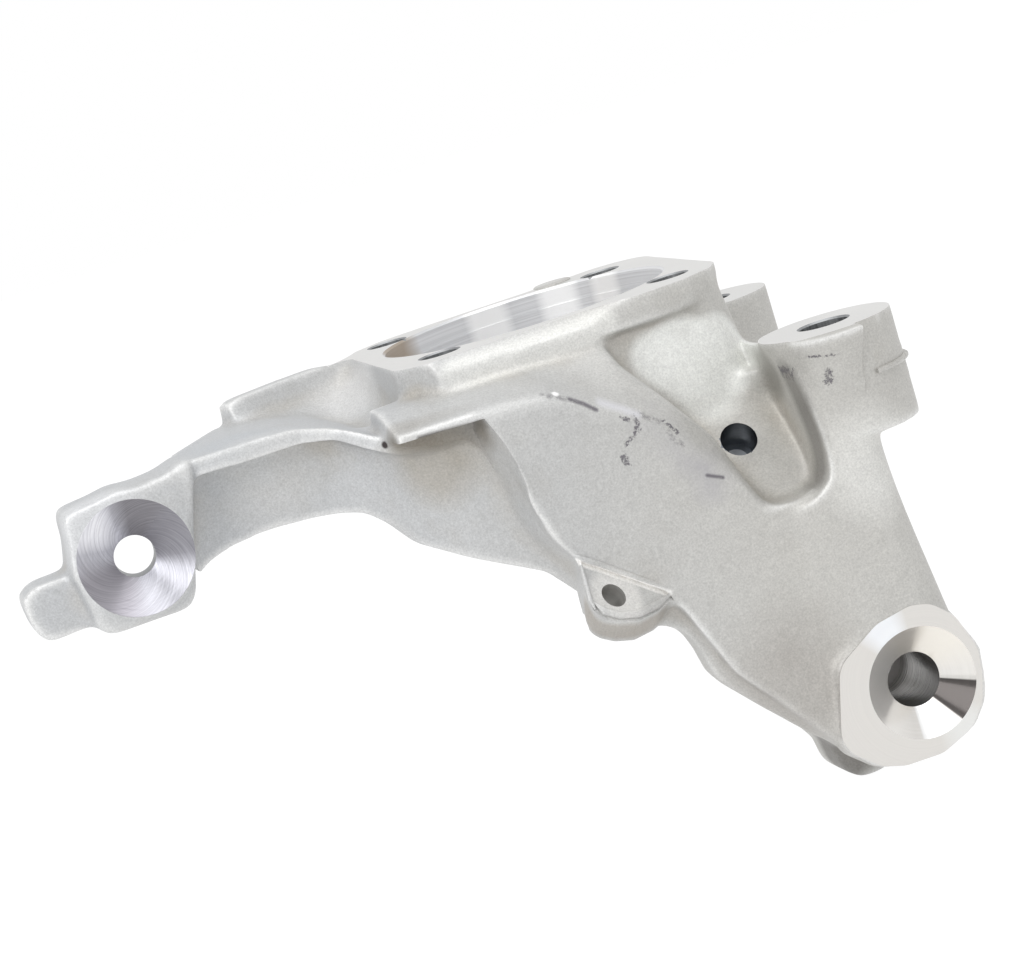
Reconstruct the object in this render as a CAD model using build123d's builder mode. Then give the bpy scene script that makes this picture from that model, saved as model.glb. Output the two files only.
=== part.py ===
from build123d import *
from math import atan2, degrees
import os

os.makedirs("parts", exist_ok=True)

# Steering knuckle: one aluminium casting, machined on its fixing faces and in its bores.
# Frame, mm: origin at the centre of the wheel-bearing bore on the machined flange face, +Z out of
# the bore towards the wheel, +X towards the caliper ears, -Y towards the lower ball joint.

# ---- wheel bearing seat ----
SEAT_R = 45.0             # bearing bore
SEAT_DEPTH = 40.0         # bore length below the flange face
LEAD_R = 45.5             # relieved mouth of the bore
LEAD_DEPTH = 6.0
SHOULDER_R = 41.0         # stop shoulder and drive-shaft passage
HOUSING_TOP_R = 57.0      # cast barrel round the bore, with draft
HOUSING_BASE_R = 62.0
HOUSING_DEPTH = 47.0

# ---- hub flange ----
BOLT_SPACING = 74.8       # square of four hub bolts
HUB_BOLT_R = 6.2
FLANGE_T = 5.0
BAND_T = 9.0              # the flange is thicker along its front
BAND_OUTLINE = [(-53.5, -44.0), (-43.0, -56.8), (10.0, -57.3), (24.0, -57.6), (37.0, -55.6),
                (46.0, -49.5), (44.0, -38.0), (-30.0, -40.0)]
BOLT_BOSS_R = 10.8        # barrel bosses behind the hub bolts
BOLT_BOSS_Z = -40.0
FLANGE_EDGE_R = 2.0
CHEEK_Z = -19.0           # solid cheek under the flange's arm side
CHEEK_OUTLINE = [(-53.5, -44.0), (-43.0, -56.0), (-30.0, -50.0), (-30.0, 42.0), (-51.9, 40.5)]
# fill between cheek and arm wall
SWEEP_TOP = [(-51.0, 40.0), (-57.0, 36.5), (-55.5, 28.0), (-53.2, 10.0)]
SWEEP_BASE = [(-48.0, 41.0), (-76.0, 21.0), (-70.0, -8.0), (-53.5, -42.0)]
SWEEP_Z = (-5.0, -19.0)
PAD_TOP = [(6.0, -40.0), (6.0, -53.0), (30.0, -53.0), (43.0, -51.5), (49.8, -44.0),
           (51.0, -30.0), (30.0, -30.0)]
PAD_BASE = [(6.0, -40.0), (6.0, -55.0), (34.0, -55.0), (50.0, -53.0), (56.0, -46.0),
            (57.0, -30.0), (30.0, -30.0)]
PAD_Z = (-3.0, -50.0)     # flat wall on the front of the barrel, behind the pocket
LOBE_R = 17.4             # pad round each outboard bolt
FLANGE_OUTLINE = [(-53.5, -44.0), (-43.0, -57.0), (10.0, -57.5), (24.0, -58.0), (37.0, -56.0),
                  (47.5, -49.5), (52.6, -39.0), (54.6, 37.4), (37.4, 54.2), (22.0, 51.0),
                  (-20.0, 51.0), (-37.4, 49.5), (-51.9, 40.5)]
RIM_LUG = (24.0, 50.0)    # low cast lug standing on the far rim
RIM_LUG_R = 7.0
RIM_LUG_H = 0.6

# ---- front shell: sections across X, each (y, z) from the flange groove round to the inner face ----
SHELL_SECTIONS = [
    (-68.0, [(-40.0, -9.0), (-53.0, -9.5), (-72.0, -15.4),
             (-76.0, -155.0), (-66.0, -155.0), (-52.0, -46.0)]),
    (-36.0, [(-40.0, -9.0), (-54.5, -9.0), (-80.0, -14.8),
             (-82.5, -155.0), (-66.0, -155.0), (-52.0, -46.0)]),
    (-19.0, [(-40.0, -9.0), (-54.5, -9.0), (-80.0, -16.6),
             (-83.5, -155.0), (-66.0, -155.0), (-52.0, -46.0)]),
    (-6.0, [(-40.0, -9.0), (-54.5, -9.0), (-80.5, -25.2),
             (-84.5, -155.0), (-66.0, -155.0), (-52.0, -46.0)]),
    (5.0, [(-40.0, -9.0), (-54.5, -9.0), (-81.0, -31.5),
             (-85.5, -155.0), (-66.0, -155.0), (-52.0, -46.0)]),
    (15.5, [(-40.0, -9.0), (-54.5, -9.5), (-81.5, -41.0),
             (-86.5, -155.0), (-66.0, -155.0), (-52.0, -46.0)]),
    (24.0, [(-40.0, -9.0), (-54.5, -11.0), (-82.0, -55.0),
             (-87.5, -155.0), (-66.0, -155.0), (-52.0, -48.0)]),
    (38.0, [(-40.0, -12.0), (-54.5, -15.0), (-83.0, -66.0),
             (-88.5, -155.0), (-64.0, -155.0), (-52.0, -52.0)]),
    (52.0, [(-42.0, -25.0), (-60.0, -26.0), (-87.0, -34.0),
             (-89.0, -155.0), (-62.0, -155.0), (-54.0, -56.0)]),
    (64.0, [(-46.0, -27.0), (-62.0, -27.0), (-89.0, -30.0),
             (-89.0, -155.0), (-60.0, -155.0), (-56.0, -58.0)]),
    (90.0, [(-52.0, -27.0), (-62.0, -27.0), (-80.0, -30.0),
             (-84.0, -155.0), (-60.0, -155.0), (-58.0, -58.0)]),
]
# Front outline of shell and rib, (x, z)
SHELL_OUTLINE = [(-64.0, -6.0), (-64.0, -19.0), (-46.0, -20.5), (-41.0, -21.5), (-36.0, -29.5),
                 (-33.5, -38.3), (-32.8, -46.8), (-31.0, -56.0), (-26.3, -64.0), (-20.0, -76.0),
                 (-3.0, -84.8), (1.8, -92.0), (6.5, -104.3), (9.8, -112.3), (19.0, -124.4),
                 (33.0, -143.0), (52.0, -150.0), (77.0, -146.0), (80.0, -124.0), (76.0, -112.0),
                 (72.5, -90.0), (69.0, -61.0), (69.0, -27.0), (54.0, -27.0), (54.0, -6.0)]
# Pocket through the shell beside the barrel, (x, z)
POCKET_OUTLINE = [(7.3, 4.0), (7.3, -12.2), (9.0, -18.2), (15.9, -28.9), (25.9, -43.7), (28.8, -52.1),
                  (33.6, -66.0), (36.6, -69.9), (41.0, -71.8), (47.0, -70.6), (52.0, -67.2),
                  (53.6, -64.2), (54.2, -57.3), (53.4, -46.2), (52.6, -36.8), (51.0, -28.0), (50.0, 4.0)]
# Sloping pocket floor that carries the speed-sensor hole, (y, z)
FLOOR_SECTION = [(-46.0, -36.0), (-54.0, -38.8), (-55.0, -41.0), (-76.5, -74.5), (-74.0, -84.0),
                 (-56.0, -88.0), (-46.0, -72.0)]
FLOOR_X = (20.0, 57.0)
SENSOR_X = 37.4           # sensor hole, on the floor
SENSOR_Y = -61.2
SENSOR_Z = -50.6
SENSOR_R = 5.6
SENSOR_TILT = 41.0        # degrees that the hole's axis rises above -Y
SENSOR_LENGTH = 34.0

# ---- lower boss with the ball-joint taper ----
BALL_X = 62.1
BALL_Z = -133.2
BALL_FACE_Y = -89.5
BALL_BOSS_DEPTH = 41.5
BALL_CONE_R = 17.0        # mouth of the machined cone
BALL_CONE_DEPTH = 7.5
BALL_HOLE_R = 8.3
BALL_OUTLINE = [(38.4, -119.0), (52.4, -112.0), (65.8, -110.0), (71.2, -111.2), (77.6, -117.2),
                (82.6, -129.0), (81.2, -140.2), (79.4, -145.4), (74.0, -151.6), (64.2, -154.4),
                (45.0, -154.2), (41.0, -152.4), (32.5, -143.6)]
BALL_CORNER_R = 4.5
LUG_OUTLINE = [(35.0, -138.0), (35.8, -150.0), (37.2, -155.8), (42.6, -160.6), (50.6, -160.4),
               (60.0, -150.0), (60.0, -136.0)]
LUG_Y = (-68.0, -50.0)

# ---- sloping gusset tab on the shell's lower edge ----
TAB_ORIGIN = (-25.0, -80.0, -64.0)
TAB_ALONG = (0.8, 0.0, -0.6)
TAB_NORMAL = (0.407, -0.735, 0.542)
TAB_OUTLINE = [(-0.4, 6.0), (0.2, -0.5), (2.4, -8.0), (5.0, -16.2), (7.0, -18.8), (9.8, -19.6),
               (14.5, -19.0), (20.6, -16.2), (26.5, -10.4), (31.4, -3.4), (30.4, 6.0)]
TAB_SWEEP = (0.0, 0.855, -0.519)
TAB_T = 15.0              # along the sweep
TAB_HOLE = (12.2, -10.0)
TAB_HOLE_R = 3.9

# ---- web between shell and steering arm: plan curve (x, y), front outline (x, z) ----
WEB_FRONT = [(38.0, -80.0), (12.0, -78.0), (-8.0, -74.0), (-22.0, -69.0), (-40.0, -62.5), (-54.0, -56.0),
             (-68.0, -43.0), (-82.0, -35.5), (-102.0, -33.0), (-126.0, -36.0)]
WEB_T = 11.0
WEB_OUTLINE = [(-128.0, -8.0), (-129.0, -44.0), (-127.0, -40.6), (-122.0, -37.4), (-114.4, -35.4),
               (-104.7, -34.6), (-92.0, -35.0), (-81.0, -36.2), (-73.5, -38.2), (-68.0, -43.2),
               (-62.5, -50.9), (-50.0, -58.7), (-31.0, -68.8), (-22.8, -78.8), (-16.0, -89.0),
               (-7.0, -92.6), (-3.0, -94.6), (1.0, -98.0), (3.4, -104.4), (5.0, -112.2), (8.2, -117.2),
               (17.8, -128.0), (31.6, -142.6), (40.0, -120.0), (20.0, -90.0), (-8.0, -58.0),
               (-28.0, -38.0), (-44.0, -22.0), (-62.0, -14.0)]

# ---- steering arm: top plate, upstand wall, boss ----
PLATE_OUTLINE = [(-40.0, -60.0), (-61.6, -61.2), (-66.0, -57.6), (-71.0, -53.6), (-77.0, -48.6),
                 (-86.0, -46.0), (-98.0, -46.5), (-118.0, -46.5), (-124.0, -40.0), (-122.0, -22.0),
                 (-104.0, 8.0), (-52.0, 40.0), (-40.0, 40.0)]
PLATE_SECTIONS = [(-40.0, -17.0, -26.0), (-54.0, -17.0, -24.0), (-61.6, -18.0, -23.0), (-70.5, -13.0, -18.0),
                  (-77.0, -9.8, -13.6), (-88.0, -6.8, -11.6), (-98.0, -6.1, -11.6), (-126.0, -5.6, -11.0)]
PLATE_FRONT = -75.0       # plate section, before it is trimmed to the outline
PLATE_BACK = 60.0
PLATE_RISE = 1.5
WALL_START = (-50.0, 41.0)
WALL_END = (-100.5, 9.0)
WALL_SECTIONS = [          # (share of the way to the end, section as (forwards, z))
    (0.0, [(0.0, 0.0), (9.0, 0.0), (13.0, -10.0), (24.0, -17.0), (24.0, -24.0), (0.0, -24.0)]),
    (0.45, [(0.0, 1.6), (8.0, 1.6), (11.5, -7.0), (19.0, -11.5), (19.0, -17.0), (0.0, -17.0)]),
    (0.93, [(0.0, 2.1), (7.0, 2.1), (9.5, -4.5), (14.0, -7.0), (14.0, -11.0), (0.0, -11.0)]),
    (1.0, [(1.0, 1.0), (6.0, 1.0), (8.5, -4.5), (12.0, -7.0), (12.0, -11.0), (1.0, -11.0)]),
]

# ---- tie-rod boss at the arm's end ----
ROD_X = -143.5
ROD_Z = -27.0
ROD_FACE_Y = -49.0
ROD_BOSS_DEPTH = 25.0
ROD_CONE_R = 17.2
ROD_CONE_DEPTH = 8.0
ROD_HOLE_R = 6.2
ROD_AXIS = (-0.070, -0.995, 0.070)
ROD_OUTLINE = [(-160.4, -8.6), (-149.6, -7.6), (-143.6, -6.5), (-137.0, -7.3), (-128.5, -6.6),
               (-119.0, -3.6), (-120.5, -12.0), (-124.4, -24.0), (-127.0, -33.0), (-129.4, -42.2),
               (-132.6, -46.5), (-157.0, -46.6), (-160.0, -43.8), (-162.8, -26.0), (-160.6, -16.0)]
STOP_OUTLINE = [(-152.0, -25.8), (-163.5, -26.0), (-174.0, -26.4), (-178.4, -29.2), (-177.4, -39.0),
                (-174.4, -43.2), (-161.0, -42.6), (-152.0, -42.6)]
STOP_DEPTH = 17.0
ROD_CORNER_R = 2.5
ROD_EDGE_R = 2.0

# ---- caliper ears ----
EAR_X = 69.4
EAR_Y = 72.0
EAR_FACE_Z = -24.0
EAR_DEPTH = 33.5
EAR_R = 20.3
EAR_HOLE_R = 7.6
FLASH_R = 22.0            # parting-line flash round the near ear
FLASH_Z = -40.2
FLASH_T = 1.6
RIB_SECTIONS = [          # rib from the near ear down to the ball-joint boss: (z, x, y, r)
    (-24.0, 67.0, -87.0, 14.5), (-46.0, 63.6, -81.5, 10.4), (-78.0, 64.1, -79.5, 10.1),
    (-112.0, 66.7, -76.5, 12.5), (-130.0, 69.7, -76.0, 12.2)]
FAR_EAR_X = 78.4
FAR_EAR_Y = 66.0
FAR_EAR_R = 20.5
FAR_EAR_DEPTH = 22.0
BRIDGE_OUTLINE = [(40.0, -52.0), (62.0, -62.0), (84.0, -60.0), (72.0, -38.0), (68.0, 0.0),
                  (72.0, 36.0), (86.0, 54.0), (62.0, 58.0), (40.0, 50.0)]
BRIDGE_Z = (-52.0, -33.0)

# ---- strut clamp on the far side ----
CLAMP_X = 12.0
CLAMP_Z = -52.0
CLAMP_BORE_R = 25.5
CLAMP_WALL = 8.0
CLAMP_Y = (50.0, 104.0)
CLAMP_SLOT = 4.0
PINCH_Y = 78.0
PINCH_HOLE_R = 5.3
PINCH_DROP = 6.4           # pinch bolt below the bore
PINCH_LUG = (38.0, 18.0, 26.0)   # width, height, length along the clamp
SADDLE_OUTLINE = [(-34.0, 30.0), (50.0, 30.0), (44.0, 92.0), (30.0, 100.0), (-6.0, 100.0), (-20.0, 92.0)]
SADDLE_Z = (-56.0, -28.0)

hub_bolt_c = BOLT_SPACING / 2
sensor_axis = Vector(0, -1, 0).rotate(Axis.X, -SENSOR_TILT)
CUT = 400.0               # longer than the casting, for cuts right through


def front_plane(y):
    return Plane.XZ.offset(-y)


def hole_place(mouth, axis):
    return Location(Plane(origin=mouth, x_dir=(1, 0, 0), z_dir=axis))


def cone_angle(mouth_r, hole_r, depth):
    return 2 * degrees(atan2(mouth_r - hole_r, depth))


# ---- rib from the near ear to the lower boss ----
with BuildPart() as rib:
    for z, x, y, r in RIB_SECTIONS:
        with BuildSketch(Plane.XY.offset(z)):
            with Locations((x, y)):
                Circle(r)
    loft()

# ---- near caliper ear with its parting-line flash ----
with BuildPart() as near_ear:
    with BuildSketch(Plane.XY.offset(EAR_FACE_Z)):
        with Locations((EAR_X, -EAR_Y)):
            Circle(EAR_R)
    extrude(amount=-EAR_DEPTH)
    with BuildSketch(Plane.XY.offset(FLASH_Z)):
        with Locations((EAR_X, -EAR_Y)):
            Circle(FLASH_R)
    extrude(amount=-FLASH_T)

# ---- front shell: ruled sections trimmed to the front outline, pocket cut through shell, rib and ear ----
with BuildPart() as shell:
    for x, pts in SHELL_SECTIONS:
        with BuildSketch(Plane.YZ.offset(x)):
            with BuildLine():
                Polyline(*pts, close=True)
            make_face()
    loft(ruled=True)
    with BuildSketch(front_plane(-20.0)):
        with BuildLine():
            Polyline(*SHELL_OUTLINE, close=True)
        make_face()
    extrude(amount=120.0, mode=Mode.INTERSECT)
    add(rib.part)
    add(near_ear.part)
    with BuildSketch(front_plane(-20.0)) as pocket_cut:
        with BuildLine():
            Polyline(*POCKET_OUTLINE, close=True)
        make_face()
    extrude(amount=120.0, mode=Mode.SUBTRACT)

with BuildPart() as floor:
    with BuildSketch(Plane.YZ.offset(FLOOR_X[0])):
        with BuildLine():
            Polyline(*FLOOR_SECTION, close=True)
        make_face()
    extrude(amount=FLOOR_X[1] - FLOOR_X[0])

# ---- web from the shell to the steering arm ----
with BuildPart() as web:
    with BuildSketch(Plane.XY.offset(-150.0)):
        with BuildLine():
            front = Spline(*WEB_FRONT)
            back = Spline(*[(x, y + WEB_T) for x, y in WEB_FRONT])
            Line(front @ 0, back @ 0)
            Line(front @ 1, back @ 1)
        make_face()
    extrude(amount=145.0)
    with BuildSketch(front_plane(-10.0)):
        with BuildLine():
            Polyline(*WEB_OUTLINE, close=True)
        make_face()
    extrude(amount=90.0, mode=Mode.INTERSECT)

# ---- arm's top plate ----
with BuildPart() as plate:
    for x, z_top, z_low in PLATE_SECTIONS:
        with BuildSketch(Plane.YZ.offset(x)):
            with BuildLine():
                Polyline((PLATE_FRONT, z_top), (PLATE_BACK, z_top + PLATE_RISE),
                         (PLATE_BACK, z_low + PLATE_RISE), (PLATE_FRONT, z_low), close=True)
            make_face()
    loft(ruled=True)
    with BuildSketch(Plane.XY.offset(-60.0)):
        with BuildLine():
            Polyline(*PLATE_OUTLINE, close=True)
        make_face()
    extrude(amount=70.0, mode=Mode.INTERSECT)

wall_run = Vector(*WALL_END) - Vector(*WALL_START)
with BuildPart() as wall:
    for share, pts in WALL_SECTIONS:
        with BuildSketch(Plane(origin=Vector(*WALL_START) + wall_run * share, z_dir=wall_run,
                               x_dir=Vector(-wall_run.Y, wall_run.X, 0))):
            with BuildLine():
                Polyline(*pts, close=True)
            make_face()
    loft(ruled=True)

with BuildPart() as sweep_fill:
    for z, pts in zip(SWEEP_Z, (SWEEP_TOP, SWEEP_BASE)):
        with BuildSketch(Plane.XY.offset(z)):
            with BuildLine():
                Polyline(*pts, close=True)
            make_face()
    loft(ruled=True)

# ---- tie-rod boss ----
with BuildPart() as rod_boss:
    with BuildSketch(front_plane(ROD_FACE_Y + ROD_BOSS_DEPTH)) as rod_face:
        with BuildLine():
            Polyline(*ROD_OUTLINE, close=True)
        make_face()
        fillet(rod_face.vertices(), ROD_CORNER_R)
    extrude(amount=ROD_BOSS_DEPTH)
    fillet(rod_boss.faces().sort_by(Axis.Y)[0].edges(), ROD_EDGE_R)
    fillet(rod_boss.faces().sort_by(Axis.Y)[-1].edges(), ROD_EDGE_R)
    with BuildSketch(front_plane(ROD_FACE_Y + ROD_BOSS_DEPTH - 3.0)):
        with BuildLine():
            Polyline(*STOP_OUTLINE, close=True)
        make_face()
    extrude(amount=STOP_DEPTH)

# ---- lower boss ----
with BuildPart() as ball_boss:
    with BuildSketch(front_plane(BALL_FACE_Y + BALL_BOSS_DEPTH)) as ball_face:
        with BuildLine():
            Polyline(*BALL_OUTLINE, close=True)
        make_face()
        fillet(ball_face.vertices(), BALL_CORNER_R)
    extrude(amount=BALL_BOSS_DEPTH)
    with BuildSketch(front_plane(LUG_Y[1])):
        with BuildLine():
            Polyline(*LUG_OUTLINE, close=True)
        make_face()
    extrude(amount=LUG_Y[1] - LUG_Y[0])

# ---- gusset tab ----
tab_plane = Plane(origin=TAB_ORIGIN, x_dir=TAB_ALONG, z_dir=TAB_NORMAL)
with BuildPart() as tab:
    with BuildSketch(tab_plane):
        with BuildLine():
            Polyline(*TAB_OUTLINE, close=True)
        make_face()
    extrude(amount=TAB_T, dir=TAB_SWEEP)

# ---- far caliper ear and the bridge between the ears ----
with BuildPart() as far_ear:
    with BuildSketch(Plane.XY.offset(EAR_FACE_Z)):
        with Locations((FAR_EAR_X, FAR_EAR_Y)):
            Circle(FAR_EAR_R)
    extrude(amount=-FAR_EAR_DEPTH)
    with BuildSketch(Plane.XY.offset(BRIDGE_Z[0])):
        with BuildLine():
            Polyline(*BRIDGE_OUTLINE, close=True)
        make_face()
    extrude(amount=BRIDGE_Z[1] - BRIDGE_Z[0])

# ---- strut clamp ----
with BuildPart() as clamp:
    with BuildSketch(Plane.XY.offset(SADDLE_Z[0])):
        with BuildLine():
            Polyline(*SADDLE_OUTLINE, close=True)
        make_face()
    extrude(amount=SADDLE_Z[1] - SADDLE_Z[0])
    with BuildSketch(front_plane(CLAMP_Y[1])):
        with Locations((CLAMP_X, CLAMP_Z)):
            Circle(CLAMP_BORE_R + CLAMP_WALL)
    extrude(amount=CLAMP_Y[1] - CLAMP_Y[0])
    with BuildSketch(front_plane(PINCH_Y)):
        with Locations((CLAMP_X, CLAMP_Z - CLAMP_BORE_R - 5.0)):
            Rectangle(PINCH_LUG[0], PINCH_LUG[1])
    extrude(amount=PINCH_LUG[2] / 2, both=True)

# ---- hub flange ----
with BuildPart() as flange:
    with BuildSketch(Plane.XY) as flange_face:
        with BuildLine():
            Polyline(*FLANGE_OUTLINE, close=True)
        make_face()
        with Locations((hub_bolt_c, hub_bolt_c)):
            Circle(LOBE_R)
    extrude(amount=-FLANGE_T)
    fillet(flange.faces().sort_by(Axis.Z)[-1].edges(), FLANGE_EDGE_R)

with BuildPart() as pad:
    for z, pts in zip(PAD_Z, (PAD_TOP, PAD_BASE)):
        with BuildSketch(Plane.XY.offset(z)):
            with BuildLine():
                Polyline(*pts, close=True)
            make_face()
    loft(ruled=True)

with BuildPart() as knuckle:
    with BuildSketch(Plane.XY.offset(-HOUSING_DEPTH)):
        Circle(HOUSING_BASE_R)
    with BuildSketch(Plane.XY.offset(-3.0)):
        Circle(HOUSING_TOP_R - 3.5)
    loft()
    with BuildSketch(Plane.XY):
        with Locations(RIM_LUG):
            Circle(RIM_LUG_R)
    extrude(amount=RIM_LUG_H)
    with BuildSketch(Plane.XY.offset(-2.0)):
        with BuildLine():
            Polyline(*CHEEK_OUTLINE, close=True)
        make_face()
    extrude(amount=CHEEK_Z + 2.0)
    with BuildSketch(Plane.XY.offset(-2.0)):
        with BuildLine():
            Polyline(*BAND_OUTLINE, close=True)
        make_face()
    extrude(amount=2.0 - BAND_T)
    with BuildSketch(Plane.XY.offset(-2.0)):
        with GridLocations(BOLT_SPACING, BOLT_SPACING, 2, 2):
            Circle(BOLT_BOSS_R)
    extrude(amount=BOLT_BOSS_Z)
    for piece in (flange, pad, shell, floor, web, plate, wall, sweep_fill, rod_boss, ball_boss, tab,
                  far_ear, clamp):
        add(piece.part)

    # bearing seat, mouth and drive-shaft passage
    with BuildSketch(Plane.XY.offset(5.0)):
        Circle(LEAD_R)
    extrude(amount=-5.0 - LEAD_DEPTH, mode=Mode.SUBTRACT)
    with BuildSketch(Plane.XY):
        Circle(SEAT_R)
    extrude(amount=-SEAT_DEPTH, mode=Mode.SUBTRACT)
    with BuildSketch(Plane.XY):
        Circle(SHOULDER_R)
    extrude(amount=-CUT, mode=Mode.SUBTRACT)
    # hub bolt holes
    with BuildSketch(Plane.XY.offset(5.0)):
        with GridLocations(BOLT_SPACING, BOLT_SPACING, 2, 2):
            Circle(HUB_BOLT_R)
    extrude(amount=-HOUSING_DEPTH - 10.0, mode=Mode.SUBTRACT)
    # caliper holes
    with BuildSketch(Plane.XY.offset(EAR_FACE_Z + 1.0)):
        with Locations((EAR_X, -EAR_Y), (FAR_EAR_X, FAR_EAR_Y)):
            Circle(EAR_HOLE_R)
    extrude(amount=-EAR_DEPTH - 2.0, mode=Mode.SUBTRACT)
    # strut clamp bore, slot and pinch bolt
    with BuildSketch(front_plane(CLAMP_Y[1] + 5.0)):
        with Locations((CLAMP_X, CLAMP_Z)):
            Circle(CLAMP_BORE_R)
    extrude(amount=CLAMP_Y[1] - CLAMP_Y[0] + 3.0, mode=Mode.SUBTRACT)
    with BuildSketch(front_plane(CLAMP_Y[1] + 5.0)):
        with Locations((CLAMP_X, CLAMP_Z - CLAMP_BORE_R - 12.0)):
            Rectangle(CLAMP_SLOT, 34.0)
    extrude(amount=CLAMP_Y[1] - CLAMP_Y[0] + 15.0, mode=Mode.SUBTRACT)
    with BuildSketch(Plane.YZ.offset(CLAMP_X - PINCH_LUG[0])):
        with Locations((PINCH_Y, CLAMP_Z - CLAMP_BORE_R - PINCH_DROP)):
            Circle(PINCH_HOLE_R)
    extrude(amount=2 * PINCH_LUG[0], mode=Mode.SUBTRACT)
    # speed-sensor hole
    with Locations(hole_place((SENSOR_X, SENSOR_Y, SENSOR_Z), sensor_axis)):
        Hole(SENSOR_R, depth=SENSOR_LENGTH)
    # tab hole
    with Locations(Location(tab_plane)):
        with Locations(TAB_HOLE):
            Hole(TAB_HOLE_R, depth=TAB_T + 6.0)
    # ball-joint cone and hole
    with Locations(hole_place((BALL_X, BALL_FACE_Y, BALL_Z), (0, -1, 0))):
        CounterSinkHole(BALL_HOLE_R, BALL_CONE_R, depth=BALL_BOSS_DEPTH + 3.0,
                        counter_sink_angle=cone_angle(BALL_CONE_R, BALL_HOLE_R, BALL_CONE_DEPTH))
    with Locations(hole_place((ROD_X, ROD_FACE_Y, ROD_Z), ROD_AXIS)):
        CounterSinkHole(ROD_HOLE_R, ROD_CONE_R, depth=ROD_BOSS_DEPTH + 8.0,
                        counter_sink_angle=cone_angle(ROD_CONE_R, ROD_HOLE_R, ROD_CONE_DEPTH))

knuckle.part.label = "knuckle"
export_step(knuckle.part, "parts/knuckle.step")
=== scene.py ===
import math
from functools import reduce

import bmesh
import bpy
import numpy as np
from mathutils import Matrix, Vector
from mathutils.bvhtree import BVHTree
from mathutils.kdtree import KDTree


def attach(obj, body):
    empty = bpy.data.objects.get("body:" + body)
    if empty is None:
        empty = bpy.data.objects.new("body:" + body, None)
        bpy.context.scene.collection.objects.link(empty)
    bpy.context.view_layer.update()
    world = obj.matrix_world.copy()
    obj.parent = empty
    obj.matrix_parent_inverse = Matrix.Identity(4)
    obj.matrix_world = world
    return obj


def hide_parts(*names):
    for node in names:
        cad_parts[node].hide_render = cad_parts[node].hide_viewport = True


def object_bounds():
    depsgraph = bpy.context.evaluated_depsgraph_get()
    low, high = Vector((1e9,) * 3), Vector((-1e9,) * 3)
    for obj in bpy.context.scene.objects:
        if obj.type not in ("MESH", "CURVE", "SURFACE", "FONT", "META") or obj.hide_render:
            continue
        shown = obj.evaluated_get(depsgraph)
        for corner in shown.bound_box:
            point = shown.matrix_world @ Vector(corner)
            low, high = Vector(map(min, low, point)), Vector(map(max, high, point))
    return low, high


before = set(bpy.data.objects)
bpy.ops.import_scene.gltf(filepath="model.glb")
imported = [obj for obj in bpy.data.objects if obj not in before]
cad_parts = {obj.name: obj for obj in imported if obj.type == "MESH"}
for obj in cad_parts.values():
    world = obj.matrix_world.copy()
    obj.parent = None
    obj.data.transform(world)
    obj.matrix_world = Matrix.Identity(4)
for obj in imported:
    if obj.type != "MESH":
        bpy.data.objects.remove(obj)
cad_lo, cad_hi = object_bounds()
scene = bpy.context.scene
MM = 0.001


def add_object(name, data):
    obj = bpy.data.objects.new(name, data)
    scene.collection.objects.link(obj)
    return obj


# ---- camera
# Its place and its own right, up and backward directions
CAM_RIGHT = (0.92357906, -0.24793426, -0.29245567)
CAM_UP = (0.321462, 0.08502836, 0.94309722)
CAM_BACK = (-0.20895909, -0.96503823, 0.15823186)
CAM_PLACE = (-0.22434, -0.94088, 0.10311)
CAM_LENS, CAM_SENSOR = 109.29, 36
CAM_CLIP = (0.05, 50)


def add_camera():
    data = bpy.data.cameras.new("camera")
    data.lens = CAM_LENS
    data.sensor_width = CAM_SENSOR
    data.clip_start, data.clip_end = CAM_CLIP
    cam = add_object("camera", data)
    turn = Matrix((CAM_RIGHT, CAM_UP, CAM_BACK)).transposed().to_4x4()
    cam.matrix_world = Matrix.Translation(CAM_PLACE) @ turn
    scene.camera = cam


# ---- mesh helpers
CORNER_SHARE = 0.45  # most of a side that one corner's arc may take
BEAD_END = 0.3  # radius of a bead at its ends, as a share


def new_object(name, verts, faces):
    mesh = bpy.data.meshes.new(name)
    mesh.from_pydata(verts, [], faces)
    mesh.update()
    return add_object(name, mesh)


def fix_normals(obj):
    bm = bmesh.new()
    bm.from_mesh(obj.data)
    bmesh.ops.triangulate(bm, faces=bm.faces[:])
    bmesh.ops.recalc_face_normals(bm, faces=bm.faces[:])
    bm.to_mesh(obj.data)
    bm.free()


def basis(axis):
    """The unit axis and two unit vectors square to it."""
    a = Vector(axis).normalized()
    u = a.orthogonal().normalized()
    return a, u, a.cross(u)


def skin(name, sections):
    """Closed solid through sections, each a list of as many points in mm."""
    k = len(sections[0])
    verts = [Vector(p) * MM for s in sections for p in s]
    faces = [tuple(range(k))[::-1], tuple(range(len(verts) - k, len(verts)))]
    for i in range(len(sections) - 1):
        for j in range(k):
            a, c = i * k + j, i * k + (j + 1) % k
            faces.append((a, c, c + k, a + k))
    obj = new_object(name, verts, faces)
    fix_normals(obj)
    return obj


def ring(centre, u, v, radius, segs):
    turns = (2 * math.pi * k / segs for k in range(segs))
    return [centre + (u * math.cos(t) + v * math.sin(t)) * radius for t in turns]


def turned(name, centre, axis, profile, segs=96):
    """Solid of revolution; profile holds (distance along the axis, radius) pairs in mm."""
    a, u, v = basis(axis)
    return skin(name, [ring(Vector(centre) + a * d, u, v, r, segs) for d, r in profile])


def oblong(left, right, low, high):
    return [(left, low), (right, low), (right, high), (left, high)]


def prism(name, outline, depth, origin=(0, 0, 0), x_dir=(1, 0, 0), normal=(0, 0, 1)):
    """Outline in the plane's own x, y (mm), pushed from depth[0] to depth[1] along the normal."""
    n = Vector(normal).normalized()
    x = Vector(x_dir).normalized()
    y = n.cross(x)
    o = Vector(origin)
    return skin(name, [[o + x * px + y * py + n * d for px, py in outline] for d in depth])


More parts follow.
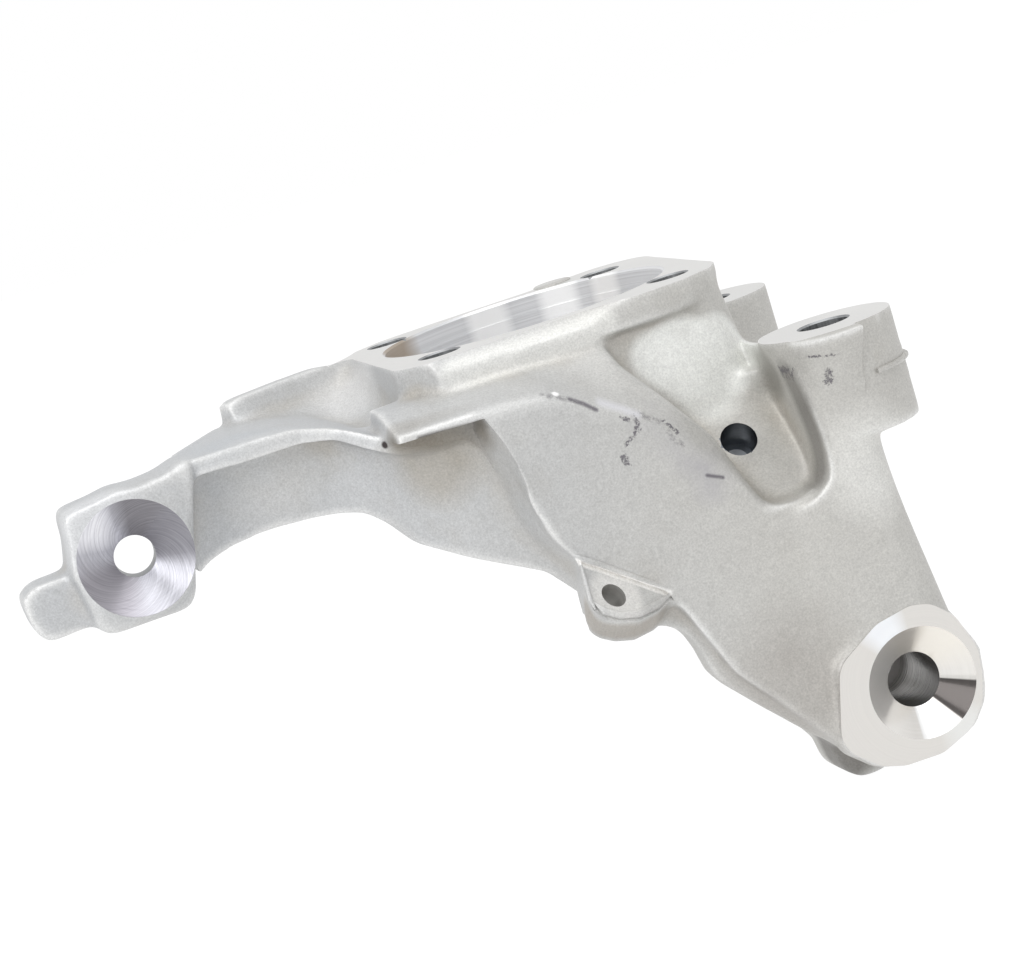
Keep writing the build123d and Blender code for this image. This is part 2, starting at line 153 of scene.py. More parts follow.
def rounded(outline, radius, steps=6):
    """Outline with its corners turned into arcs."""
    out = []
    n = len(outline)
    for i in range(n):
        p, a, b = (Vector(outline[j % n]) for j in (i, i - 1, i + 1))
        da, db = (a - p), (b - p)
        half = da.angle(db) / 2
        reach = min(radius / math.tan(half), CORNER_SHARE * da.length, CORNER_SHARE * db.length)
        r = reach * math.tan(half)
        mid = (da.normalized() + db.normalized()).normalized()
        c = p + mid * (r / math.sin(half))
        s, e = p + da.normalized() * reach, p + db.normalized() * reach
        for k in range(steps + 1):
            q = s.lerp(e, k / steps) - c
            out.append(tuple(c + q.normalized() * r))
    return out


def run_at(pts, i):
    """Direction of a path at its point i."""
    return (pts[min(i + 1, len(pts) - 1)] - pts[max(i - 1, 0)]).normalized()


def tube(name, points, radius, segs):
    """Round bead along a list of points in mm, thinning out at both ends."""
    pts = [Vector(p) for p in points]
    last = len(pts) - 1
    sections = []
    for i, p in enumerate(pts):
        t = run_at(pts, i)
        u = t.cross(Vector((0, 1, 0))).normalized()
        sections.append(ring(p, u, t.cross(u), radius * (BEAD_END if i in (0, last) else 1), segs))
    return skin(name, sections)


def apply_modifiers(obj):
    """Turns the object's modifiers into its own mesh."""
    dg = bpy.context.evaluated_depsgraph_get()
    mesh = bpy.data.meshes.new_from_object(obj.evaluated_get(dg))
    obj.modifiers.clear()
    old = obj.data
    obj.data = mesh
    bpy.data.meshes.remove(old)


def drop(*objs):
    for o in objs:
        bpy.data.objects.remove(o)


def cut(obj, tool, operation="DIFFERENCE"):
    """Boolean of the object with a tool, which is used up."""
    m = obj.modifiers.new("cut", "BOOLEAN")
    m.solver = "MANIFOLD"
    m.operation = operation
    m.object = tool
    apply_modifiers(obj)
    drop(tool)


def join(name, objs):
    """One object with the meshes of all, which may overlap."""
    verts, faces = [], []
    for o in objs:
        base = len(verts)
        verts += [v.co[:] for v in o.data.vertices]
        faces += [tuple(base + i for i in p.vertices) for p in o.data.polygons]
    return new_object(name, verts, faces)


def read(items, key, width, kind=np.float32):
    """One property of many mesh items as an array."""
    a = np.empty(len(items) * width, kind)
    items.foreach_get(key, a)
    return a.reshape(-1, width) if width > 1 else a


def coords(mesh):
    return read(mesh.vertices, "co", 3).astype(float)


def set_coords(mesh, co):
    mesh.vertices.foreach_set("co", co.astype(np.float32).ravel())
    mesh.update()


def unit(v):
    return v / np.maximum(np.linalg.norm(v, axis=1), 1e-12)[:, None]


def gather(index, values, n):
    """Sum rows of values into n bins."""
    return np.stack([np.bincount(index, values[:, k], minlength=n) for k in range(values.shape[1])], 1)


# ---- smoothing
def face_grid(mesh):
    """Corners of each face as rows of four, and the pairs of faces that share an edge."""
    starts = read(mesh.polygons, "loop_start", 1, np.int32)
    totals = read(mesh.polygons, "loop_total", 1, np.int32)
    corner = read(mesh.loops, "vertex_index", 1, np.int32)
    edge = read(mesh.loops, "edge_index", 1, np.int32)
    rows = np.stack([corner[starts + np.minimum(k, totals - 1)] for k in range(4)], 1)
    owner = np.repeat(np.arange(len(starts)), totals)
    order = np.argsort(edge, kind="stable")
    e, f = edge[order], owner[order]
    twin = np.nonzero(e[:-1] == e[1:])[0]
    return rows, f[twin], f[twin + 1]


def face_normals(co, rows):
    a = co[rows[:, 2]] - co[rows[:, 0]]
    b = co[rows[:, 3]] - co[rows[:, 1]]
    tri = rows[:, 2] == rows[:, 3]
    b[tri] = co[rows[tri, 2]] - co[rows[tri, 1]]
    return unit(np.cross(a, b))


def melt_facets(mesh, rounds, fit_rounds, keep_angle):
    """Evens out small angles between neighbouring faces and leaves sharper edges."""
    rows, f0, f1 = face_grid(mesh)
    co = coords(mesh)
    nr = face_normals(co, rows)
    limit = math.cos(keep_angle)
    count = len(rows)
    for _ in range(rounds):
        w = np.clip((nr[f0] * nr[f1]).sum(1) - limit, 0, None)[:, None] ** 2
        total = gather(f0, w * nr[f1], count) + gather(f1, w * nr[f0], count)
        nr = unit(nr * (1 - limit) ** 2 + total)
    flat = rows.ravel()
    share = np.bincount(flat, minlength=len(co)).astype(float)[:, None]
    for _ in range(fit_rounds):
        centre = co[rows].mean(1)
        step = np.zeros_like(co)
        for k in range(4):
            v = rows[:, k]
            gap = ((centre - co[v]) * nr).sum(1)[:, None] * nr
            step += gather(v, gap, len(co))
        co = co + step / share
    set_coords(mesh, co)


def neighbours(mesh):
    """Both ends of every edge in both directions, and how many edges meet at each vertex."""
    e = read(mesh.edges, "vertices", 2, np.int32)
    a = np.concatenate([e[:, 0], e[:, 1]])
    b = np.concatenate([e[:, 1], e[:, 0]])
    return a, b, np.bincount(a, minlength=len(mesh.vertices)).astype(float)[:, None]


def vertex_normals(co, rows):
    fn = face_normals(co, rows)
    total = np.zeros_like(co)
    for k in range(4):
        total += gather(rows[:, k], fn, len(co))
    return unit(total)


def fillet_smooth(mesh, rounds, hollow, edge, factor=0.5):
    """Smoothing with one weight in hollows and another on outer edges."""
    rows, _, _ = face_grid(mesh)
    a, b, deg = neighbours(mesh)
    co = coords(mesh)
    for i in range(rounds):
        if i % 3 == 0:
            nr = vertex_normals(co, rows)
        step = gather(a, co[b], len(co)) / deg - co
        out = (step * nr).sum(1) > 0
        w = np.where(out, hollow, edge)[:, None]
        co = co + factor * w * step
    set_coords(mesh, co)


def relax(mesh, weight, rounds):
    """Even smoothing where weight is above 0."""
    a, b, deg = neighbours(mesh)
    keep = weight[a] > 0
    a, b = a[keep], b[keep]
    co = coords(mesh)
    w = 0.5 * weight[:, None]
    for _ in range(rounds):
        total = gather(a, co[b], len(co))
        co = np.where(w > 0, co + w * (total / deg - co), co)
    set_coords(mesh, co)


def path_weight(co, path, reach, soft):
    """1 within reach mm of a path of 3-D points, falling to 0 over soft mm."""
    p = co / MM
    best = np.full(len(p), 1e9)
    for a, b in zip(path, path[1:]):
        a, b = np.array(a, float), np.array(b, float)
        run = b - a
        t = np.clip(((p - a) @ run) / (run @ run), 0, 1)[:, None]
        best = np.minimum(best, np.linalg.norm(p - a - t * run, axis=1))
    x = np.clip((reach + soft - best) / soft, 0, 1)
    return x * x * (3 - 2 * x)


def bend(mesh, rounds):
    """Signed bend of the surface per vertex: above 0 in hollows, below 0 on outer edges."""
    rows, _, _ = face_grid(mesh)
    a, b, deg = neighbours(mesh)
    co = coords(mesh)
    nr = vertex_normals(co, rows)
    h = ((gather(a, co[b], len(co)) / deg - co) * nr).sum(1)[:, None] / MM
    for _ in range(rounds):
        h = 0.5 * h + 0.5 * gather(a, h[b], len(co)) / deg
    return h[:, 0]


# ---- sizes that the CAD part has, mm
UP = (0, 0, 1)
AHEAD = (0, -1, 0)
ACROSS = (1, 0, 0)
FRONT = dict(x_dir=ACROSS, normal=AHEAD)  # outlines given as (x, z), depth as -y
HUB = 37.4  # hub bolts stand at +-HUB in X and Y
HUB_R = 6.2
SEAT_R, SEAT_LOW = 45, -40
LEAD_R, LEAD_LOW = 45.5, -6
SHOULDER_R = 41
EARS = (((69.4, -72), 20.3, 33.5),  # centre, radius and depth
        ((78.4, 66), 20.5, 22))
EAR_Z = -24
EAR_HOLE_R = 7.6
BALL = (62.1, -89.5, -133.2)
BALL_BOSS_DEPTH = 41.5
BALL_CONE_R, BALL_HOLE_R, BALL_CONE_DEPTH = 17, 8.3, 7.5
ROD = (-143.5, -49, -27)
ROD_AXIS = (-0.07, -0.995, 0.07)
ROD_CONE_R, ROD_HOLE_R, ROD_CONE_DEPTH = 17.2, 6.2, 8
CLAMP = (12, 0, -52)  # on the strut clamp's axis, which runs along Y
CLAMP_Y = (52, 104)
CLAMP_R = 25.5
SLIT_W, SLIT_Z, SLIT_Y = 4, (-106.5, -72.5), (40, 109)
PINCH = (0, 78, -83.9)  # on the pinch bolt's axis, which runs along X
PINCH_R, PINCH_X = 5.3, (-26, 50)
SENSOR = (37.4, -61.2, -50.6)
SENSOR_R = 5.6
SENSOR_TILT = math.radians(41)
TAB_ORIGIN = (-25, -80, -64)
TAB_ALONG = (0.8, 0, -0.6)
TAB_NORMAL = (0.407, -0.735, 0.542)
TAB_OUTLINE = [
    (-0.4, 6), (0.2, -0.5), (2.4, -8), (5, -16.2), (7, -18.8), (9.8, -19.6), (14.5, -19), (20.6, -16.2),
    (26.5, -10.4), (31.4, -3.4), (30.4, 6)]
TAB_SWEEP = Vector((0, 0.855, -0.519))
TAB_T = 15
TAB_HOLE = (12.2, -10)
TAB_HOLE_R = 3.9
FLANGE_OUTLINE = [
    (-53.5, -44), (-43, -57), (10, -57.5), (24, -58), (37, -56), (47.5, -49.5), (52.6, -39), (54.6, 37.4),
    (37.4, 54.2), (22, 51), (-20, 51), (-37.4, 49.5), (-51.9, 40.5)]
LOBE_R = 17.4
RIM_LUG, RIM_LUG_R, RIM_LUG_H = (24, 50, 0), 6.4, 0.55

sensor_axis = (0, -math.cos(SENSOR_TILT), math.sin(SENSOR_TILT))
tab_n = Vector(TAB_NORMAL).normalized()
tab_x = Vector(TAB_ALONG).normalized()
tab_y = tab_n.cross(tab_x)


def tab_point(px, py):
    """Place of a point of the tab's face, given in the face's own directions."""
    return Vector(TAB_ORIGIN) + tab_x * px + tab_y * py


tab_hole_at = tab_point(*TAB_HOLE)

# ---- cast details, mm
# Parting-line bead down the shell's free edge, (x, z), and how deep it lies in the skin
RIDGE = [
    (-39.4, -17.6), (-37.2, -24), (-34.9, -30), (-33.5, -38), (-32.4, -46.7), (-29.4, -55.2),
    (-25.6, -63.6), (-19.6, -68.2), (-9.4, -76), (-1.8, -82.2), (2.4, -91.9), (7.3, -104), (10.6, -112.2),
    (20, -123.6), (29, -134.6)]
RIDGE_R, RIDGE_SINK = 1.35, 0.55
RIDGE_STEPS, RIDGE_EVEN = 6, 8  # points per leg and rounds that even out their depth
RAY_START = -300  # y, well in front of the part
# Free edge of the shell, (x, z), and the drafted wall behind it: front y, back y and spread
SHELL_EDGE = [
    (-40.5, -19.5), (-36.3, -27.5), (-34, -36), (-33, -46.8), (-31.2, -56), (-26.6, -64), (-20.2, -76)]
SKIRT = (-79.5, -60, 4.5)
SKIRT_TUCK = (1, 4)  # how far its front and back edges reach into the shell
# Slope under the shelf: x, its front y, its top z and its low z
SHELF_UNDER = [
    (-64.5, -68, -17, -19), (-58, -72, -17, -25), (-48, -74.5, -17.2, -29), (-41, -76.5, -17.6, -29),
    (-36, -77, -18, -24)]
SHELF_BACK = -54
# What lies left of the free edge and below the lip is cut back: corners by (x, z), and how they open behind
UNDERCUT = [
    (-39, -17.2, 0, -0.3), (-37.6, -21, -2.5, -0.6), (-35.6, -26.5, -3.4, -0.6), (-34.2, -32, -3.8, -0.6),
    (-33.3, -39, -4, -0.4), (-33.6, -44.5, -4.8, 0), (-35.4, -49, -6, 0), (-39, -53, -7, 0),
    (-66, -53, 0, 0), (-66, -17, 0, -0.3)]
UNDERCUT_Y = (-100, -79.5, -65)  # front, edge where it starts to open, back
RIB_SIDE = [  # waste beside the rib, (x, z), cut off round the near ear
    (71.6, -20), (71, -29.8), (69.6, -40.7), (66.9, -55.9), (66.6, -57.6), (110, -57.6), (110, -20)]
RIB_SIDE_DEPTH = (60, 115)
EAR_KEEP = (0.05, -70, -10)  # what the cut leaves of the ear: growth in radius, low and high z
POCKET_SILL = [(33, -69.4), (45.5, -69.4), (49, -67.4), (52.5, -72), (48, -75), (33, -75)]
POCKET_SILL_DEPTH = (70, 82.6)
TAB_POCKET = [
    (-0.6, -2.1), (1, -1.9), (7.4, -1.6), (20.2, -1.9), (28, -1.9), (30, -2.6), (32, -5.6), (31, -12),
    (20, -24), (4, -24), (-1.5, -10)]
TAB_POCKET_WAY = (-0.20895909, -0.96503823, 0.15823186)
TAB_POCKET_DEPTH = (-0.2, 14)
# Bead along the tab's top edge, (x, z), its y and its radius
TAB_TOP = [
    (-26.3, -63), (-24.4, -64.9), (-19.7, -68.2), (-14.6, -72.2), (-9.5, -76.1), (-4.8, -79.6),
    (-1.6, -82.5), (-0.3, -85.4)]
TAB_TOP_Y, TAB_TOP_R = -81.9, 1
# Beads on the tab's rim: path on its face, radius and lift
TAB_RIMS = [
    ([(0.2, -0.4), (2.6, -8), (4.9, -15), (6.6, -17.6)], 0.9, 0.3),
    ([(6, -15.4), (9.4, -17.4), (14.2, -16.9), (20, -14.2), (25.6, -8.8), (30.2, -2.6)], 1.25, 0.45)]
TAB_CORNER_R, TAB_EDGE_R = 5, 0.9
BEAD_SEGS = 12
# Flash round the near ear, between x and z limits: height above its middle and radius
FLASH_Z, FLASH_R = -39.6, 21.7
FLASH_ROOT = 3
FLASH_KEEP = (74.5, 110, -60, -30)
FLASH_KEEP_DEPTH = (50, 110)
BAND_CHAMFER = (-58.2, -5.4)  # y and z of its lower edge; it rises at 45 degrees
BAND_CHAMFER_X = (-47, -41, 4, 22)  # starts, full from, full to, ends
BAND_BACK = -44
BALL_OUTLINE = [
    (38.6, -120), (53.2, -111.6), (64.7, -109.7), (71.2, -111.2), (77.6, -117.6), (81.6, -129),
    (80.6, -137.2), (78.4, -145), (73, -151.6), (62.2, -155.6), (50, -155.2), (43, -153), (32.2, -143.6)]
BALL_CORNER_R = 9
BALL_DRAFT = ((6, 1.2), (0, 0), (-1.5, 0))  # depth below the face and growth of the outline

# ---- machining, mm
STOCK = 1.5  # allowance above each milled face
STOCK_LOW, EAR_STOCK_LOW = -3, -2  # where the allowance starts, inside the casting
PLUG_OVER = 1  # plugs reach this far into the wall round a hole
PLUG_TOP = 0.9  # above the flange face
HUB_PLUG_LOW, SEAT_PLUG_LOW = -44, -46
EAR_PLUG_RISE = 0.5
BALL_PLUG = [
    (1 - BALL_BOSS_DEPTH, BALL_HOLE_R + 1), (-22, BALL_HOLE_R + 1),
    (-9, BALL_CONE_R + 0.4), (-0.1, BALL_CONE_R + 0.4)]
ROD_PLUG = [(-22, ROD_HOLE_R + 1.5), (-9, ROD_CONE_R + 0.2), (0.8, ROD_CONE_R + 0.2)]
SENSOR_PLUG_LOW, TAB_PLUG_LOW = -16, -7
SLIT_PLUG = (CLAMP[0] - 4, CLAMP[0] + 4, -91.5, -70)
SLIT_PLUG_DEPTH = (-90.6, -65.4)
PINCH_PLUG = 18.6  # half of its length
FLANGE_MILL = (-60, 60, -62, 60)
CLEAR = 20  # tools start this far outside
HUB_LOW, SHOULDER_LOW = -52, -120
HUB_EDGE, LEAD_EDGE, EAR_EDGE = (0.5, 0.2), (0.7, 0.3), (0.6, 0)  # chamfers: below and above the face
EAR_OVER, EAR_FACE_OVER, EAR_CLEAR = 3, 3, 12
FACE_LIFT = 0.001
BALL_STEP, BALL_INNER_R, BALL_LOW = 39.4, 5.4, -60
BALL_FACE_R, BALL_CLEAR = 40, 14
ROD_SINK = 0.45  # straight rim above the rod's cone
ROD_LOW, ROD_CLEAR, ROD_DRAFT = -40, 8, 0.1
SENSOR_DEEP, SENSOR_STEP, SENSOR_INNER_R = 34, 10.5, 3.6
HOLE_CLEAR, TAB_LOW = 10, -18
CLAMP_MOUTH = (1, 1.6)  # half length and growth of the chamfer at its mouth
VOXEL, VOXEL_QUICK = 0.00085, 0.0013  # metres
TRI_BUDGET = 165000

# ---- smoothing of the casting
CREST = [(-33, -79, -15.4), (-27, -79.3, -15.9), (-21, -79.8, -16.9), (-14, -80.2, -19), (-6, -80.5, -25),
         (5, -81, -31.5), (15.5, -81.5, -41), (24, -82, -55), (31, -82.5, -61)]
CHEEK_FOLD = [(-54, 34, -7), (-58, 26, -12), (-62, 12, -16)]
CREST_REACH, CREST_ROUNDS = (5, 5), 50
CHEEK_REACH, CHEEK_ROUNDS = (9, 6), 60
MELT_ROUNDS, MELT_FIT, MELT_KEEP = 30, 12, math.radians(38)
FILLET_ROUNDS, FILLET_EDGE = 8, 0.12
FINE_ROUNDS = 2.3  # a finer mesh needs more rounds for the same reach
BEND_ROUNDS, BEND_ROUNDS_QUICK = (6, 70), (3, 30)
CARRY_REACH = 1.2  # mm from the smoothed skin that still take its bend


# ---- cast blank
def hub_places():
    return [(sx * HUB, sy * HUB, 0) for sx in (-1, 1) for sy in (-1, 1)]


def plug(centre, axis, low, high, radius, segs=96):
    return turned("plug", centre, axis, [(low, radius + PLUG_OVER), (high, radius + PLUG_OVER)], segs)


def front_bead(mesh, path):
    """Bead that follows the front surface under a path given as (x, z)."""
    tree = BVHTree.FromPolygons([v.co for v in mesh.vertices], [p.vertices for p in mesh.polygons])
    dense = []
    for (x0, z0), (x1, z1) in zip(path, path[1:]):
        for k in range(RIDGE_STEPS):
            dense.append((x0 + (x1 - x0) * k / RIDGE_STEPS, z0 + (z1 - z0) * k / RIDGE_STEPS))
    dense.append(path[-1])
    pts = []
    for x, z in dense:
        hit = tree.ray_cast(Vector((x, RAY_START, z)) * MM, Vector((0, 1, 0)))[0]
        if hit is not None:
            pts.append(hit / MM)
    ys = np.array([p.y for p in pts])
    for _ in range(RIDGE_EVEN):
        ys[1:-1] = (ys[:-2] + ys[1:-1] * 2 + ys[2:]) / 4
    return tube("bead", [(p.x, y + RIDGE_SINK, p.z) for p, y in zip(pts, ys)], RIDGE_R, 10)


def skirt():
    """Drafted wall from the shell's free edge back to the web."""
    front, back, spread = SKIRT
    pts = [Vector((x, z)) for x, z in SHELL_EDGE]
    sections = []
    for i, p in enumerate(pts):
        run = run_at(pts, i)
        low = p + Vector((run.y, -run.x)) * spread
        sections.append([(p.x + SKIRT_TUCK[0], front, p.y), (low.x, back, low.y),
                         (p.x + SKIRT_TUCK[1], back, p.y)])
    return skin("skirt", sections)


def shelf_under():
    """Slope below the shelf's lip, thinning out at both ends."""
    back = SHELF_BACK
    return skin("under", [[(x, y, z), (x, back, z), (x, back, low)] for x, y, z, low in SHELF_UNDER])


def filled_holes():
    """Plugs for every hole, and the machining allowance on the ears and the flange."""
    parts = [plug(at, UP, HUB_PLUG_LOW, PLUG_TOP, HUB_R, 32) for at in hub_places()]
    parts.append(plug((0, 0, 0), UP, SEAT_PLUG_LOW, PLUG_TOP, SEAT_R))
    for (x, y), radius, depth in EARS:
        at = (x, y, EAR_Z)
        parts.append(plug(at, UP, EAR_PLUG_RISE - depth, STOCK, EAR_HOLE_R, 40))
        parts.append(turned("stock", at, UP, [(EAR_STOCK_LOW, radius), (STOCK, radius)]))
    return parts + [
        turned("plug", BALL, AHEAD, BALL_PLUG),
        turned("plug", ROD, ROD_AXIS, ROD_PLUG),
        plug(SENSOR, sensor_axis, SENSOR_PLUG_LOW, 0, SENSOR_R, 40),
        plug(tab_hole_at, TAB_NORMAL, TAB_PLUG_LOW, 0, TAB_HOLE_R, 32),
        prism("stock", FLANGE_OUTLINE, (STOCK_LOW, STOCK)),
        turned("stock", (HUB, HUB, 0), UP, [(STOCK_LOW, LOBE_R), (STOCK, LOBE_R)]),
        plug(CLAMP, (0, 1, 0), CLAMP_Y[0] - 1, CLAMP_Y[1] - 0.4, CLAMP_R),
        prism("plug", oblong(*SLIT_PLUG), SLIT_PLUG_DEPTH, **FRONT),
        plug(PINCH, ACROSS, CLAMP[0] - PINCH_PLUG, CLAMP[0] + PINCH_PLUG, PINCH_R, 32)]


def cast_blank():
    """The CAD form with its holes plugged, machining stock on the faces and its parting-line bead."""
    src = add_object("source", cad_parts["knuckle"].data.copy())
    src.data.materials.clear()
    fix_normals(src)
    parts = [src, front_bead(src.data, RIDGE)] + filled_holes()
    parts += [skirt(), shelf_under(), prism("sill", POCKET_SILL, POCKET_SILL_DEPTH, **FRONT)]
    blank = join("knuckle_casting", parts)
    drop(*parts)
    m = blank.modifiers.new("remesh", "REMESH")
    m.mode = "VOXEL"
    m.voxel_size = VOXEL
    apply_modifiers(blank)
    return blank


def chamfer_band(mesh):
    """Slopes the upper front of the flange, and lets the slope run out at the bolt boss."""
    co = coords(mesh)
    x, y, z = (co / MM).T
    y0, z0 = BAND_CHAMFER
    over = ((z - z0) - (y - y0)) / math.sqrt(2)
    starts, full_from, full_to, ends = BAND_CHAMFER_X
    share = np.clip((x - starts) / (full_from - starts), 0, 1) * np.clip((ends - x) / (ends - full_to), 0, 1)
    band = (y < BAND_BACK) & (z > z0 - 1) & (over > 0)
    push = np.where(band, over * share, 0) * MM / math.sqrt(2)
    co[:, 1] += push
    co[:, 2] -= push
    set_coords(mesh, co)


def soften(mesh):
    """Rounds the casting's edges and fills its hollows, most along the crest and the cheek's fold."""
    grain = FINE_ROUNDS
    melt_facets(mesh, int(MELT_ROUNDS * grain), MELT_FIT, MELT_KEEP)
    relax(mesh, path_weight(coords(mesh), CREST, *CREST_REACH), int(CREST_ROUNDS * grain))
    relax(mesh, path_weight(coords(mesh), CHEEK_FOLD, *CHEEK_REACH), int(CHEEK_ROUNDS * grain))
    fillet_smooth(mesh, int(FILLET_ROUNDS * grain), 1, FILLET_EDGE)
    fillet_smooth(mesh, 2, 1, 1)


def thin_out(obj):
    """Brings the mesh under its budget of triangles."""
    tris = 2 * len(obj.data.polygons)
    if tris > TRI_BUDGET:
        m = obj.modifiers.new("thin", "DECIMATE")
        m.ratio = TRI_BUDGET / tris
        apply_modifiers(obj)


# ---- crisp cast forms
def rib_side_tool():
    side = prism("tool", RIB_SIDE, RIB_SIDE_DEPTH, **FRONT)
    (x, y), radius, _ = EARS[0]
    grow, low, high = EAR_KEEP
    cut(side, turned("tool", (x, y, 0), UP, [(low, radius + grow), (high, radius + grow)]))
    return side


def undercut_tool():
    front, edge, back = UNDERCUT_Y
    return skin("tool", [[(x + dx * share, y, z + dz * share) for x, z, dx, dz in UNDERCUT]
                         for y, share in ((front, 0), (edge, 0), (back, 1))])


def tab_pocket_tool():
    outline = [tab_point(px, py) for px, py in TAB_POCKET]
    return skin("tool", [[p + Vector(TAB_POCKET_WAY) * d for p in outline] for d in TAB_POCKET_DEPTH])


def ear_flash():
    """Thin fin on the parting line, on the outer side of the near ear."""
    (x, y), radius, _ = EARS[0]
    root = radius - FLASH_ROOT
    flash = turned("flash", (x, y, FLASH_Z), UP, [(-0.9, root), (-0.8, FLASH_R - 0.5), (-0.3, FLASH_R),
                                                 (0.3, FLASH_R), (0.7, FLASH_R - 0.5), (0.9, root)])
    cut(flash, prism("keep", oblong(*FLASH_KEEP), FLASH_KEEP_DEPTH, **FRONT), "INTERSECT")
    return flash


def boss_rim():
    """Crisp rim of the ball-joint boss, a little wider below its face."""
    face = rounded(BALL_OUTLINE, BALL_CORNER_R)
    mid = Vector((BALL[0], BALL[2]))
    sections = []
    for below, grow in BALL_DRAFT:
        pts = [Vector(p) + (Vector(p) - mid).normalized() * grow for p in face]
        sections.append([(p.x, BALL[1] + below, p.y) for p in pts])
    return skin("rim", sections)


def tab_block():
    """The gusset tab with small even radii on its edges."""
    face = [tab_point(px, py) for px, py in rounded(TAB_OUTLINE, TAB_CORNER_R, 8)]
    tab = skin("tab", [[p + TAB_SWEEP * d for p in face] for d in (0, TAB_T)])
    m = tab.modifiers.new("bevel", "BEVEL")
    m.width = TAB_EDGE_R * MM
    m.segments = 3
    m.limit_method = "ANGLE"
    m.angle_limit = math.radians(50)
    apply_modifiers(tab)
    fix_normals(tab)
    return tab


def tab_beads():
    beads = [tube("bead", [(x, TAB_TOP_Y, z) for x, z in TAB_TOP], TAB_TOP_R, BEAD_SEGS)]
    for path, radius, lift in TAB_RIMS:
        beads.append(tube("bead", [tab_point(px, py) + tab_n * lift for px, py in path], radius, BEAD_SEGS))
    return beads


def add_crisp_forms(obj):
    for tool in (rib_side_tool(), undercut_tool(), tab_pocket_tool()):
        cut(obj, tool)
    for piece in [ear_flash(), boss_rim(), tab_block()] + tab_beads():
        cut(obj, piece, "UNION")


# ---- milling and boring
def edge_break(radius, below, above):
    """Profile points of a 45 degree chamfer at the mouth of a hole."""
    return [(-below, radius), (above, radius + below + above)]


def bore(obj, centre, axis, profile, segs):
    cut(obj, turned("tool", centre, axis, profile, segs))


def machine_flange(obj):
    cut(obj, prism("tool", oblong(*FLANGE_MILL), (0, 30)))
    lug = [(STOCK_LOW, RIM_LUG_R), (RIM_LUG_H - 0.3, RIM_LUG_R), (RIM_LUG_H, RIM_LUG_R - 0.5)]
    cut(obj, turned("lug", RIM_LUG, UP, lug, 48), "UNION")
    seat = [(SHOULDER_LOW, SHOULDER_R), (SEAT_LOW, SHOULDER_R), (SEAT_LOW, SEAT_R), (LEAD_LOW, SEAT_R),
            (LEAD_LOW, LEAD_R)] + edge_break(LEAD_R, *LEAD_EDGE)
    bore(obj, (0, 0, 0), UP, seat + [(CLEAR, LEAD_R + sum(LEAD_EDGE))], 192)
    bolt = [(HUB_LOW, HUB_R)] + edge_break(HUB_R, *HUB_EDGE) + [(CLEAR, HUB_R + sum(HUB_EDGE))]
    for at in hub_places():
        bore(obj, at, UP, bolt, 48)


def machine_ears(obj):
    for (x, y), radius, depth in EARS:
        face = radius + EAR_FACE_OVER
        hole = [(-depth - EAR_OVER, EAR_HOLE_R)] + edge_break(EAR_HOLE_R, *EAR_EDGE)
        bore(obj, (x, y, EAR_Z), UP, hole + [(FACE_LIFT, face), (EAR_CLEAR, face)], 96)


def machine_joint_seats(obj):
    ball = [(BALL_LOW, BALL_INNER_R), (-BALL_STEP, BALL_INNER_R), (-BALL_STEP, BALL_HOLE_R),
            (-BALL_CONE_DEPTH, BALL_HOLE_R), (0, BALL_CONE_R), (FACE_LIFT, BALL_FACE_R),
            (BALL_CLEAR, BALL_FACE_R)]
    bore(obj, BALL, AHEAD, ball, 160)
    rod = [(ROD_LOW, ROD_HOLE_R), (-ROD_CONE_DEPTH - ROD_SINK, ROD_HOLE_R), (-ROD_SINK, ROD_CONE_R),
           (ROD_CLEAR, ROD_CONE_R + ROD_DRAFT)]
    bore(obj, ROD, ROD_AXIS, rod, 160)


def machine_small_holes(obj):
    sensor = [(-SENSOR_DEEP, SENSOR_INNER_R), (-SENSOR_STEP, SENSOR_INNER_R), (-SENSOR_STEP, SENSOR_R),
              (HOLE_CLEAR, SENSOR_R)]
    bore(obj, SENSOR, sensor_axis, sensor, 64)
    bore(obj, tab_hole_at, TAB_NORMAL, [(TAB_LOW, TAB_HOLE_R), (HOLE_CLEAR, TAB_HOLE_R)], 48)


def machine_clamp(obj):
    half, grow = CLAMP_MOUTH
    bore(obj, CLAMP, (0, 1, 0), [(CLAMP_Y[0], CLAMP_R), (CLAMP_Y[1] - half, CLAMP_R),
                                 (CLAMP_Y[1] + half, CLAMP_R + grow)], 144)
    slit = oblong(CLAMP[0] - SLIT_W / 2, CLAMP[0] + SLIT_W / 2, *SLIT_Z)
    cut(obj, prism("tool", slit, (-SLIT_Y[1], -SLIT_Y[0]), **FRONT))
    bore(obj, PINCH, ACROSS, [(x, PINCH_R) for x in PINCH_X], 64)


def hold_in_box(mesh):
    set_coords(mesh, np.clip(coords(mesh), np.array(cad_lo), np.array(cad_hi)))


# ---- finish of each face
CAST, MILLED, BORE, BALL_SEAT, ROD_SEAT, DRILLED, SENSOR_BORE, CLEAN_HOLE, BOSS_FACE, STUD_BORE = range(10)
NEAR, NEAR_WALL, NEAR_RIM = 0.03, 0.06, 0.12  # tolerances for a face's middle, mm


def along(p, centre, axis):
    """Distance of points p along and away from an axis, in mm."""
    a = np.array(Vector(axis).normalized())
    q = p - np.array(centre)
    d = q @ a
    return d, np.linalg.norm(q - d[:, None] * a, axis=1)


def near(a, b, tol=NEAR):
    return np.abs(a - b) < tol


def within(a, low, high):
    return (a > low) & (a < high)


